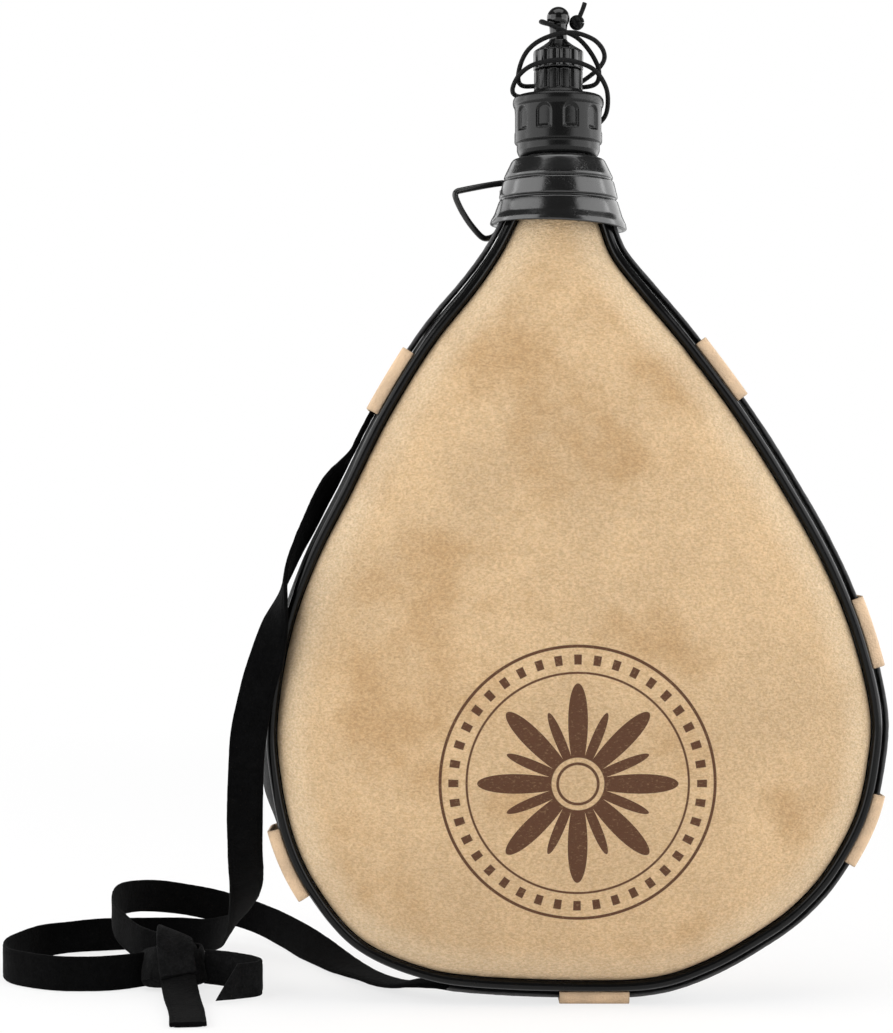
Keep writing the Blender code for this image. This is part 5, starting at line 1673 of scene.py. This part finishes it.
    def held(self, name: str, start: float, end: float) -> bpy.types.Object:
        """Make a run that lies on the gusset.

        Args:
            name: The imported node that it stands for.
            start: Where it starts along the outline.
            end: Where it ends.

        Returns:
            The run.
        """
        distances = np.linspace(start, end, max(12, round((end - start) / self.route_step)))
        held = self.outline.held_bulge(distances)
        out = self.outline.band_out + held + self.lift + self.thickness / 2
        track = Track(self.outline.spot(distances, out, np.zeros(len(distances))))
        # A lighter copy of the strap, partly painted side light.
        return self.ribbon(name, track, SIDE_LIT_SMOOTH_STRAP, steady(DEPTH_AXIS), self.held_looseness)

    def brush_below(self, item: bpy.types.Object, distance: float) -> None:
        """Give a run its brushed side from a place on the outline downwards.

        Args:
            item: The run.
            distance: The place's distance along the outline, under a loop.
        """
        height = self.outline.spot(np.array([distance]), np.zeros(1), np.zeros(1))[0][2]
        item.data.materials.append(STRAP_NAP.material())
        for face in item.data.polygons:
            face.material_index = int(face.center.z < height)

    def free(self, name: str, route: Sequence[tuple[Sequence[float], Sequence[float]]]
             ) -> tuple[bpy.types.Object, Track]:
        """Make a run that hangs or lies free.

        Args:
            name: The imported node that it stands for.
            route: The strap's middle, and the way that its width points.

        Returns:
            The strap and its line.
        """
        track = Track([place for place, _ in route], [way for _, way in route])
        # The right tail takes the lighter copy of the strap, painted with top light.
        finish = TOP_LIT_KNOT_NAP if name in self.slanted_ends else STRAP_NAP
        return self.ribbon(name, track, finish, track.value, 1.0), track

    def fold(self, route: Sequence[tuple[Sequence[float], Sequence[float]]], width: float,
             seed: float) -> Cage:
        """Make one fold of strap for the knot.

        Args:
            route: The fold's middle, and the way that its width points.
            width: Its width.
            seed: Moves its unevenness.

        Returns:
            The fold with closed ends.
        """
        track = Track([place for place, _ in route], [way for _, way in route])

        def shaping(distance: Array, wide: Array, thick: Array) -> tuple[Array, Array]:
            """Roughen the fold.

            Args:
                distance: Distances along the line.
                wide: Offsets across.
                thick: Offsets through.

            Returns:
                The uneven offsets.
            """
            spots = np.stack([wide, thick * 4, distance], -1)
            rough = unevenness(spots, self.fine_waves, seed)
            grow = np.sign(thick) * rough * self.broad_rise
            return wide + rough * self.fine_rise, thick + grow

        rows = max(self.least_rows, round(track.length / self.fold_step))
        return swept(track, self.around, rows, width, self.thickness, self.squareness,
                     track.value, shaping)

    def ring_route(self) -> list[tuple[Triple, Triple]]:
        """Give the fold that runs round the knot, low in front.

        Returns:
            The fold's middle, and the way that its width points.
        """
        route = []
        for step in range(self.ring_steps + 1):
            angle = math.radians(360.0 / self.ring_steps * step + self.ring_start)
            side, back = (math.copysign(abs(part) ** self.ring_squareness, part)
                          for part in (math.cos(angle), math.sin(angle)))
            place = (self.knot_centre[0] + self.ring_reach[0] * side,
                     self.knot_centre[1] + self.ring_reach[1] * back,
                     self.ring_height + self.ring_rise * math.sin(angle + self.ring_phase))
            route.append((place, (self.ring_lean * side, self.ring_lean * back, 1.0)))
        return route

    def make_knot(self) -> bpy.types.Object:
        """Make the knot: a core, a fold round it and a fold over its top.

        Returns:
            The knot.
        """
        cage = bmesh.new()
        cage.loops.layers.uv.new("surface")
        around, down = self.core_faces
        bmesh.ops.create_uvsphere(cage, u_segments=around, v_segments=down, radius=1.0)
        places = np.array([vertex.co[:] for vertex in cage.verts])
        bulk = np.sign(places) * np.abs(places) ** self.core_squareness
        bulk = bulk * np.array(self.core_size)
        bulk += places * unevenness(bulk, self.core_waves, 4.0)[:, None] * self.core_rise
        for vertex, spot in zip(cage.verts, bulk + np.array(self.knot_centre)):
            vertex.co = spot
        routes = (self.ring_route(), self.top_fold, self.side_fold)
        join_into(cage, *(self.fold(route, width, seed) for route, width, seed
                          in zip(routes, self.fold_widths, self.fold_seeds)))
        for vertex in cage.verts:
            vertex.co.z = max(vertex.co.z, self.knot_floor)
        # The knot takes the lighter copy of the strap, painted with top light.
        return self.workshop.piece("strap_knot_turns", cage, TOP_LIT_KNOT_NAP, Slot.STRAP, Body.BAG,
                                   ["strap_knot"])

    def build(self) -> None:
        hanging, hanging_line = self.free("strap_hanging_run", self.hanging_route)
        back, back_line = self.free("strap_back_run", self.back_route)
        front, _ = self.free("strap_tail_front", self.front_tail)
        right, _ = self.free("strap_tail_right", self.right_tail)
        knot = self.make_knot()
        left = self.held("strap_left_run", self.setback, self.left_end + self.seam_lap)
        self.brush_below(left, self.outline.length * LOOP_SHARES["loop_left_upper"])
        self.held("strap_right_run", self.low_start - self.seam_lap,
                  self.outline.length - self.setback)
        hanging_line.centres(self.rows(hanging_line))
        back_line.centres(self.rows(back_line))


@dataclass
class NeckCollar:
    """The collar in three bands, with its sleeve and the wire loop in it."""

    workshop: Workshop
    top: float = 0.2850
    height: float = 0.0220
    top_radius: float = 0.0160
    rim_radius: float = 0.02327
    depth_share: float = 0.82
    droop: float = 0.0020
    around: int = 144
    edge_round: float = 0.00035
    row_step: float = 0.0011
    map_size: Pair = (0.13, 0.06)
    outer: tuple[Pair, ...] = (
        (0.000, -0.090), (0.030, 0.000), (0.265, 0.340), (0.295, 0.350), (0.318, 0.270),
        (0.345, 0.400), (0.560, 0.565), (0.585, 0.570), (0.610, 0.457), (0.640, 0.580),
        (0.840, 0.800), (0.930, 0.960), (0.985, 1.000), (1.000, 0.950))
    inner: tuple[Pair, ...] = (
        (1.000, 0.857), (0.930, 0.800), (0.820, 0.620), (0.610, 0.320), (0.410, 0.130))
    shoulder: Pair = (0.3045, 0.057)
    bore: float = 0.0122
    sleeve_place: Triple = (-0.0293, 0.0124, 0.2735)
    sleeve_radius: float = 0.0021
    sleeve_length: float = 0.0060
    sleeve_gap: float = 0.0003
    sleeve_round: float = 0.0002
    sleeve_around: int = 32
    web_size: Triple = (0.0030, 0.0022, 0.0040)
    web_round: float = 0.0004
    web_reach: float = 0.0031
    wire_radius: float = 0.00105
    wire_faces: tuple[int, int] = (20, 240)
    wire_way: Triple = (-0.34, 0.94, 0.02)
    wire_end: float = 0.0006
    wire_route: tuple[Triple, ...] = (
        (0.0, 0.0, 0.0030), (0.0, 0.0, 0.0045), (-0.0006, -0.0002, 0.0055),
        (-0.0030, -0.0011, 0.0052), (-0.0084, -0.0033, 0.0040), (-0.0150, -0.0055, 0.0024),
        (-0.0168, -0.0061, 0.0018), (-0.0174, -0.0062, 0.0006), (-0.0166, -0.0058, -0.0018),
        (-0.0148, -0.0054, -0.0053), (-0.0120, -0.0044, -0.0094),
        (-0.0084, -0.0026, -0.0132), (-0.0060, -0.0010, -0.0136),
        (-0.0036, 0.0010, -0.0122), (-0.0020, 0.0016, -0.0094),
        (-0.0007, 0.0007, -0.0060), (0.0, 0.0, -0.0042), (0.0, 0.0, -0.0030))

    def make_cone(self) -> Cage:
        """Make the collar's wall.

        Returns:
            The wall's mesh.
        """
        spread = self.rim_radius - self.top_radius
        bore_share = (self.bore - self.top_radius) / spread
        corners = [*self.outer, *self.inner, self.shoulder,
                   (self.shoulder[0], bore_share), (0.0, bore_share)]
        scaled = [(share * spread, down * self.height) for down, share in corners]
        line = split_long(soften(scaled, self.edge_round), self.row_step)
        rows = len(line) - 1

        def place(across: Array, along: Array) -> Array:
            """Turn the wall's outline round.

            Args:
                across: Shares across.
                along: Shares along.

            Returns:
                The places, one a row.
            """
            index = np.rint(along * rows).astype(int)
            angle = ring_angle(across, self.around)
            radius = self.top_radius + line[index, 0]
            drop = line[index, 1]
            share = drop / self.height
            inside = line[index, 0] < bore_share * spread + 0.00002
            squash = np.where(inside, 1.0, 1 - (1 - self.depth_share) * share)
            sag = self.droop * share ** 4 * ((1 + np.cos(angle)) / 2) ** 2
            return np.stack([NECK_X + radius * np.cos(angle),
                             radius * squash * np.sin(angle), self.top - drop - sag], -1)

        cage = mapped_grid(self.around, rows, place, *self.map_size)
        close_ends(cage)
        return cage

    def make_sleeve(self) -> Cage:
        """Make the sleeve that the wire's ends sit in, with its web.

        Returns:
            The mesh of both.
        """
        low = self.sleeve_place[2] - self.sleeve_length / 2
        high = self.sleeve_place[2] + self.sleeve_length / 2
        inner = self.wire_radius + self.sleeve_gap
        corners = [(self.sleeve_radius, high), (self.sleeve_radius, low), (inner, low),
                   (inner, high)]
        tube = turned(soften(corners, self.sleeve_round), self.sleeve_around,
                      centre=self.sleeve_place[:2])
        web = bmesh.new()
        web.loops.layers.uv.new("surface")
        bmesh.ops.create_cube(web, size=1.0)
        bmesh.ops.scale(web, verts=web.verts, vec=self.web_size)
        bmesh.ops.bevel(web, geom=web.edges, offset=self.web_round, segments=2, profile=0.5,
                        affect="EDGES", material=-1)
        toward = Vector((NECK_X - self.sleeve_place[0], -self.sleeve_place[1], 0.0))
        turn = toward.to_track_quat("X", "Z").to_matrix().to_4x4()
        bmesh.ops.transform(web, matrix=turn, verts=web.verts)
        bmesh.ops.translate(web, verts=web.verts,
                            vec=(Vector(self.sleeve_place)
                                 + toward.normalized() * self.web_reach))
        return join_into(tube, web)

    def make_wire(self) -> None:
        """Make the wire loop."""
        centre = np.array(self.sleeve_place)
        route = [(0.0, 0.0, self.wire_end), *self.wire_route, (0.0, 0.0, -self.wire_end)]
        track = Track(np.array(route) + centre)
        cage = swept(track, *self.wire_faces, 2 * self.wire_radius, 2 * self.wire_radius, 1.0,
                     steady(self.wire_way))
        self.workshop.piece("hang_loop_wire", cage, COATED_WIRE, Slot.WIRE, Body.HANG_LOOP,
                            ["hang_loop"])

    def build(self) -> None:
        """Make the collar and its loop, and dress what they hide."""
        cage = join_into(self.make_cone(), self.make_sleeve())
        self.workshop.piece("collar_moulded", cage, COLLAR_GLOSS, Slot.PLASTIC, Body.BAG,
                            ["collar"])
        self.make_wire()
        self.workshop.keep_node("neck_clamp", BAND_STEEL, Slot.CLAMP)
        self.workshop.keep_node("spout", SPOUT_GREY, Slot.SPOUT)


@dataclass
class FillingCap:
    """The screw cap with arched flutes, and the fluted foot on its top."""

    workshop: Workshop
    low: float = 0.2859
    height: float = 0.0206
    body_radius: float = 0.0149
    band_radius: float = 0.0141
    bead_radius: float = 0.0155
    bore: float = 0.0122
    lip: float = 0.0007
    ceiling: float = 0.3033
    foot_top: float = 0.3153
    foot_radius: float = 0.0083
    flare_radius: float = 0.0095
    flare_height: float = 0.0020
    foot_bore: float = 0.0055
    flutes: int = 10
    flute_width: float = 0.0052
    flute_low: float = 0.0085
    flute_top: float = 0.0164
    flute_depth: float = 0.0008
    flute_start: float = math.radians(-76)
    flute_edge: Pair = (-0.00012, 0.00042)
    notch_half_width: float = 0.0016
    notch_half_height: float = 0.00042
    notch_rise: float = 0.0004
    notch_edge: Pair = (-0.0001, 0.0002)
    notch_depth: float = 0.0007
    skin: float = 0.0006
    flute_margin: float = 0.001
    grip_margins: Pair = (0.0002, 0.0003)
    grips: int = 12
    around: int = 300
    outline_step: float = 0.0004
    edge_round: float = 0.0004

    def relief(self, angle: Array, radius: Array, height: Array) -> Array:
        """Give how far the flutes, notches and grip grooves sink.

        Args:
            angle: Angles round the axis.
            radius: Distances from the axis.
            height: Heights.

        Returns:
            The depth at each point.
        """
        pitch = math.tau / self.flutes
        turn = (angle - self.flute_start + pitch / 2) % pitch - pitch / 2
        side = np.abs(turn) * self.body_radius
        rise = height - self.low
        half = self.flute_width / 2
        crown = self.flute_top - half
        above = np.maximum(rise - crown, 0.0)
        inside = half - np.hypot(side, above)
        inside = np.minimum(inside, rise - self.flute_low)
        outer = (radius > self.body_radius - self.skin) & (rise < self.flute_top + self.flute_margin)
        depth = np.where(outer, self.flute_depth * ease(inside, *self.flute_edge), 0.0)
        off = np.abs(rise - self.flute_low - self.notch_rise)
        notch = (ease(self.notch_half_width - side, *self.notch_edge)
                 * ease(self.notch_half_height - off, *self.notch_edge))
        depth = depth + np.where(outer, notch * self.notch_depth, 0.0)
        beside, over = self.grip_margins
        on_foot = (radius > self.foot_radius - self.skin) & (radius < self.foot_radius + beside)
        on_foot &= height > self.low + self.height + self.flare_height + over
        grooves = grip_grooves(angle, self.grips, self.foot_radius)
        return depth + np.where(on_foot, grooves, 0.0)

    def build(self) -> None:
        """Make the cap and dress the nozzle and its gasket."""
        top = self.low + self.height
        corners = [
            (self.foot_radius, self.foot_top),
            (self.foot_radius, top + self.flare_height),
            (self.flare_radius, top),
            (self.bead_radius * 0.94, top),
            (self.bead_radius * 0.99, self.low + self.height * 0.955),
            (self.bead_radius, self.low + self.height * 0.890),
            (self.bead_radius * 0.985, self.low + self.height * 0.840),
            (self.body_radius, self.low + self.height * 0.815),
            (self.body_radius, self.low + self.height * 0.238),
            (self.band_radius, self.low + self.height * 0.209),
            (self.band_radius, self.low + self.height * 0.102),
            ((self.band_radius + self.bore + self.lip) / 2, self.low + self.height * 0.034),
            (self.bore + self.lip, self.low),
            (self.bore, self.low),
            (self.bore, self.ceiling),
            (self.foot_bore, self.ceiling),
            (self.foot_bore, self.foot_top),
        ]
        outline = split_long(soften(corners, self.edge_round), self.outline_step)
        cage = turned(outline, self.around, self.relief)
        self.workshop.piece("filling_cap_fluted", cage, SATIN_BLACK, Slot.PLASTIC, Body.CAP,
                            ["filling_cap"])
        self.workshop.keep_node("drinking_nozzle", SPOUT_GREY, Slot.SPOUT)
        self.workshop.keep_node("cap_gasket", SEAL_RED, Slot.SEAL)


@dataclass
class DrinkingStopper:
    """The stopper's fluted head, stem and ball, with the cord tied round the stem."""

    workshop: Workshop
    low: float = 0.3156
    head_top: float = 0.3226
    head_radius: float = 0.0085
    bore: float = 0.0043
    ceiling: float = 0.3217
    stem_radius: float = 0.00305
    dome_height: float = 0.0030
    ball_radius: float = 0.00385
    ball_z: float = 0.3334
    ball_steps: int = 28
    grips: int = 12
    skin: float = 0.0007
    grip_margins: Pair = (0.0005, 0.0003)
    around: int = 240
    outline_step: float = 0.0005
    edge_round: float = 0.0005
    cord_radius: float = 0.0008
    cord_around: int = 14
    cord_rows: int = 620
    tail_rows: int = 60
    turn_rows: int = 48
    turn_steps: int = 16
    cord_way: Triple = (0.31, 0.48, 0.82)
    cord_base: float = 0.2859
    cord_route: tuple[Triple, ...] = (
        (0.0102, 0.0124, 0.0120), (0.0137, 0.0092, 0.0128), (0.0163, 0.0045, 0.0152),
        (0.0168, -0.0010, 0.0190), (0.0157, -0.0060, 0.0232), (0.0122, -0.0105, 0.0274),
        (0.0076, -0.0128, 0.0295), (0.0016, -0.0140, 0.0306), (-0.0043, -0.0135, 0.0303),
        (-0.0096, -0.0113, 0.0292), (-0.0135, -0.0080, 0.0267), (-0.0155, -0.0035, 0.0235),
        (-0.0150, 0.0022, 0.0221), (-0.0120, 0.0088, 0.0224), (-0.0040, 0.0134, 0.0240),
        (0.0060, 0.0138, 0.0270), (0.0125, 0.0098, 0.0306), (0.0153, 0.0045, 0.0330),
        (0.0157, 0.0000, 0.0350), (0.0141, -0.0035, 0.0374), (0.0108, -0.0065, 0.0394),
        (0.0049, -0.0088, 0.0408), (-0.0011, -0.0097, 0.0401), (-0.0069, -0.0098, 0.0378),
        (-0.0108, -0.0084, 0.0347), (-0.0130, -0.0050, 0.0308), (-0.0136, 0.0000, 0.0268),
        (-0.0118, 0.0050, 0.0254), (-0.0060, 0.0096, 0.0262), (0.0020, 0.0109, 0.0262),
        (0.0095, 0.0088, 0.0257), (0.0133, 0.0038, 0.0262), (0.0138, -0.0006, 0.0294),
        (0.0122, -0.0018, 0.0333), (0.0094, -0.0022, 0.0374), (0.0062, -0.0034, 0.0402),
        (0.0022, -0.0046, 0.0420), (-0.0022, -0.0047, 0.0440), (-0.0052, -0.0026, 0.0457),
        (-0.0057, 0.0012, 0.0465), (-0.0036, 0.0044, 0.0466), (0.0000, 0.0055, 0.0464),
        (0.0032, 0.0046, 0.0462))
    knot_place: Triple = (0.0064, 0.0020, 0.0464)
    knot_turns: tuple[Triple, ...] = ((0.3, 0.5, 0.0017), (1.5, 0.2, 0.0018),
                                     (2.4, -0.6, 0.0016))
    tail_route: tuple[Triple, ...] = (
        (0.0064, 0.0018, 0.0460), (0.0070, 0.0016, 0.0476), (0.0078, 0.0014, 0.0494),
        (0.0086, 0.0012, 0.0514), (0.0091, 0.0012, 0.0530))

    def relief(self, angle: Array, radius: Array, height: Array) -> Array:
        """Give how far the grip's grooves sink.

        Args:
            angle: Angles round the axis.
            radius: Distances from the axis.
            height: Heights.

        Returns:
            The depth at each point.
        """
        on_head = radius > self.head_radius - self.skin
        below, above = self.grip_margins
        on_head &= (height > self.low + below) & (height < self.head_top - above)
        grooves = grip_grooves(angle, self.grips, self.head_radius)
        return np.where(on_head, grooves, 0.0)

    def make_head(self) -> None:
        """Make the stopper."""
        stem_angle = math.asin(self.stem_radius / self.ball_radius)
        ball = []
        for step in range(self.ball_steps + 1):
            angle = (math.pi - stem_angle) * step / self.ball_steps
            ball.append((self.ball_radius * math.sin(angle),
                         self.ball_z + self.ball_radius * math.cos(angle)))
        waist = self.ball_z - self.ball_radius * math.cos(stem_angle)
        spread = self.head_radius - self.stem_radius
        body = [
            (self.stem_radius * 0.95, (waist + self.head_top + self.dome_height) / 2),
            (self.stem_radius, self.head_top + self.dome_height),
            (self.stem_radius + spread * 0.42, self.head_top + self.dome_height * 0.42),
            (self.stem_radius + spread * 0.66, self.head_top + self.dome_height * 0.16),
            (self.stem_radius + spread * 0.88, self.head_top - self.dome_height * 0.10),
            (self.head_radius, self.head_top - self.dome_height / 4),
            (self.head_radius, self.low),
            (self.bore, self.low),
            (self.bore, self.ceiling),
            (0.0, self.ceiling),
        ]
        lower = soften([ball[-1], *body], self.edge_round, closed=False)
        outline = split_long(np.vstack([np.array(ball[:-1]), lower]), self.outline_step)
        cage = turned(outline, self.around, self.relief)
        self.workshop.piece("stopper_fluted", cage, STOPPER_GLOSS, Slot.PLASTIC, Body.STOPPER,
                            ["stopper"])

    def corded(self, points: Sequence[Sequence[float]],
               rows: int) -> tuple[Cage, Track]:
        """Sweep a length of cord through points above the cap's underside.

        Args:
            points: Points of the cord's middle line.
            rows: Faces along it.

        Returns:
            The cord's mesh and its line.
        """
        track = Track(np.array(points) + np.array([NECK_X, 0.0, self.cord_base]))
        cage = swept(track, self.cord_around, rows, 2 * self.cord_radius,
                     2 * self.cord_radius, 1.0, steady(self.cord_way))
        return cage, track

    def knot_turn(self, lean: float, tilt: float, reach: float) -> Cage:
        """Make one turn of the cord's knot.

        Args:
            lean: Angle of its axis round the upright.
            tilt: Angle of its axis up from the level.
            reach: Its radius.

        Returns:
            The turn of cord.
        """
        normal = unit(np.array([math.cos(lean), math.sin(lean), math.sin(tilt)]))
        side = unit(np.cross(normal, UPRIGHT))
        up = np.cross(side, normal)
        angles = [math.tau * step / self.turn_steps for step in range(self.turn_steps + 1)]
        ring = [np.array(self.knot_place)
                + (side * math.cos(angle) + up * math.sin(angle)) * reach for angle in angles]
        return self.corded(ring, self.turn_rows)[0]

    def make_cord(self) -> None:
        """Make the wound cord, its knot and the knot's tail."""
        cage, track = self.corded(self.cord_route, self.cord_rows)
        cord = self.workshop.piece("retaining_cord_braid", cage, BRAID, Slot.CORD, None,
                                   ["retaining_cord"])
        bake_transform(cord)
        turns = [self.knot_turn(*turn) for turn in self.knot_turns]
        tail, _ = self.corded(self.tail_route, self.tail_rows)
        knot_cage = join_into(tail, *turns)
        knot = self.workshop.piece("retaining_cord_knot_turns", knot_cage, BRAID, Slot.CORD,
                                   Body.STOPPER_LIFT, ["retaining_cord_knot"])
        track.centres(self.cord_rows)

    def build(self) -> None:
        """Make the stopper and the cord, and dress the seal."""
        self.make_cord()
        self.make_head()
        self.workshop.keep_node("stopper_seal", SEAL_RED, Slot.SEAL)


@dataclass(frozen=True)
class Lamp:
    """A soft lamp: its name, place, width and height, and power in watts."""

    name: str
    place: Triple
    size: tuple[float, float]
    power: float


@dataclass
class Studio:
    """Camera, lights and a floor that is the backdrop too."""

    camera_place: Triple = (-0.0497, -0.800, 0.164)
    picture_size: tuple[int, int] = (893, 1033)
    metres_per_pixel: float = 0.00034
    sensor: float = 36.0
    world_strength: float = 0.14
    near_glow: float = 0.74
    far_glow: float = 1.0
    glow_reach: Pair = (0.20, 1.10)
    floor_size: float = 12.0
    floor_tone: float = 0.9
    floor_roughness: float = 0.9
    aim_height: float = 0.16
    clip_range: Pair = (0.01, 50.0)
    lamps: tuple[Lamp, ...] = (
        Lamp("left_soft_lamp", (-0.97, -0.46, 0.40), (1.4, 1.0), 11.3),
        Lamp("right_soft_lamp", (0.97, -0.44, 0.40), (1.4, 1.0), 11.3),
        Lamp("left_rim_lamp", (-0.90, 0.55, 0.35), (1.3, 0.9), 7.0),
        Lamp("right_rim_lamp", (0.90, 0.58, 0.35), (1.3, 0.9), 8.0),
        Lamp("top_soft_lamp", (0.0, -0.30, 1.30), (1.4, 0.8), 8.0))

    def make_camera(self) -> None:
        """Stand the camera level in front of the bag."""
        data = bpy.data.cameras.new("camera")
        long_side = max(self.picture_size) * self.metres_per_pixel
        data.sensor_width = self.sensor
        data.lens = self.sensor * -self.camera_place[1] / long_side
        data.clip_start, data.clip_end = self.clip_range
        camera = bpy.data.objects.new("camera", data)
        camera.location = self.camera_place
        camera.rotation_euler = (math.radians(90), 0.0, 0.0)
        bpy.context.scene.collection.objects.link(camera)
        bpy.context.scene.camera = camera

    def make_lamp(self, lamp: Lamp) -> None:
        """Add a soft lamp that points at the bag.

        Args:
            lamp: What the lamp is like.
        """
        data = bpy.data.lights.new(lamp.name, "AREA")
        data.shape = "RECTANGLE"
        data.size, data.size_y = lamp.size
        data.energy = lamp.power
        item = bpy.data.objects.new(lamp.name, data)
        item.location = lamp.place
        aim = Vector((NECK_X, 0.0, self.aim_height)) - Vector(lamp.place)
        item.rotation_euler = aim.to_track_quat("-Z", "Y").to_euler()
        bpy.context.scene.collection.objects.link(item)

    def make_world(self) -> None:
        """Light everything softly from all round."""
        world = bpy.data.worlds.new("studio_world")
        bpy.context.scene.world = world
        world.use_nodes = True
        graph = Graph(world.node_tree)
        background = world.node_tree.nodes["Background"]
        path = graph.node("ShaderNodeLightPath")
        strength = graph.span(path.outputs["Is Camera Ray"], 0.0, 1.0, self.world_strength, 1.0)
        background.inputs["Color"].default_value = (1.0, 1.0, 1.0, 1.0)
        graph.put(background.inputs["Strength"], strength)

    def make_floor(self) -> None:
        """Make a pale floor that turns white away from the bag and keeps its shadow."""
        cage = bmesh.new()
        bmesh.ops.create_grid(cage, x_segments=1, y_segments=1, size=self.floor_size / 2)
        mesh = bpy.data.meshes.new("floor")
        cage.to_mesh(mesh)
        cage.free()
        material = bpy.data.materials.new("pale_floor")
        material.use_nodes = True
        graph = Graph(material.node_tree)
        shader = material.node_tree.nodes["Principled BSDF"]
        shader.inputs["Base Color"].default_value = (*[self.floor_tone] * 3, 1.0)
        shader.inputs["Roughness"].default_value = self.floor_roughness
        glow = graph.node("ShaderNodeEmission")
        path = graph.node("ShaderNodeLightPath")
        seen = graph.calc("MAXIMUM", path.outputs["Is Camera Ray"],
                          path.outputs["Is Glossy Ray"])
        seen = graph.calc("MAXIMUM", seen, path.outputs["Is Transmission Ray"])
        away = graph.node("ShaderNodeVectorMath", {0: graph.coordinates()},
                          operation="LENGTH")
        share = graph.span(away.outputs["Value"], *self.glow_reach, self.near_glow,
                           self.far_glow)
        blend = graph.node("ShaderNodeMixShader", {0: graph.times(seen, share),
                                                   1: shader.outputs[0], 2: glow.outputs[0]})
        output = material.node_tree.nodes["Material Output"]
        graph.put(output.inputs["Surface"], blend.outputs[0])
        mesh.materials.append(material)
        floor = bpy.data.objects.new("floor", mesh)
        bpy.context.scene.collection.objects.link(floor)

    def build(self) -> None:
        """Set up the whole studio."""
        bpy.context.scene.view_settings.view_transform = "Standard"
        self.make_camera()
        self.make_world()
        for lamp in self.lamps:
            self.make_lamp(lamp)
        self.make_floor()


def main() -> None:
    """Build the studio and every piece of the bag."""
    logging.basicConfig(level=logging.INFO, format="%(name)s %(message)s")
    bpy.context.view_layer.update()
    Studio().build()
    outline = Outline()
    workshop = Workshop()
    ShoulderStrap(outline, workshop).build()
    DrinkingStopper(workshop).build()
    FillingCap(workshop).build()
    NeckCollar(workshop).build()
    EdgeBand(outline, workshop).build()
    LeatherShell(outline, workshop).build()
    LOG.info("%d pieces made", len(workshop.made))


if __name__ == "__main__":
    main()
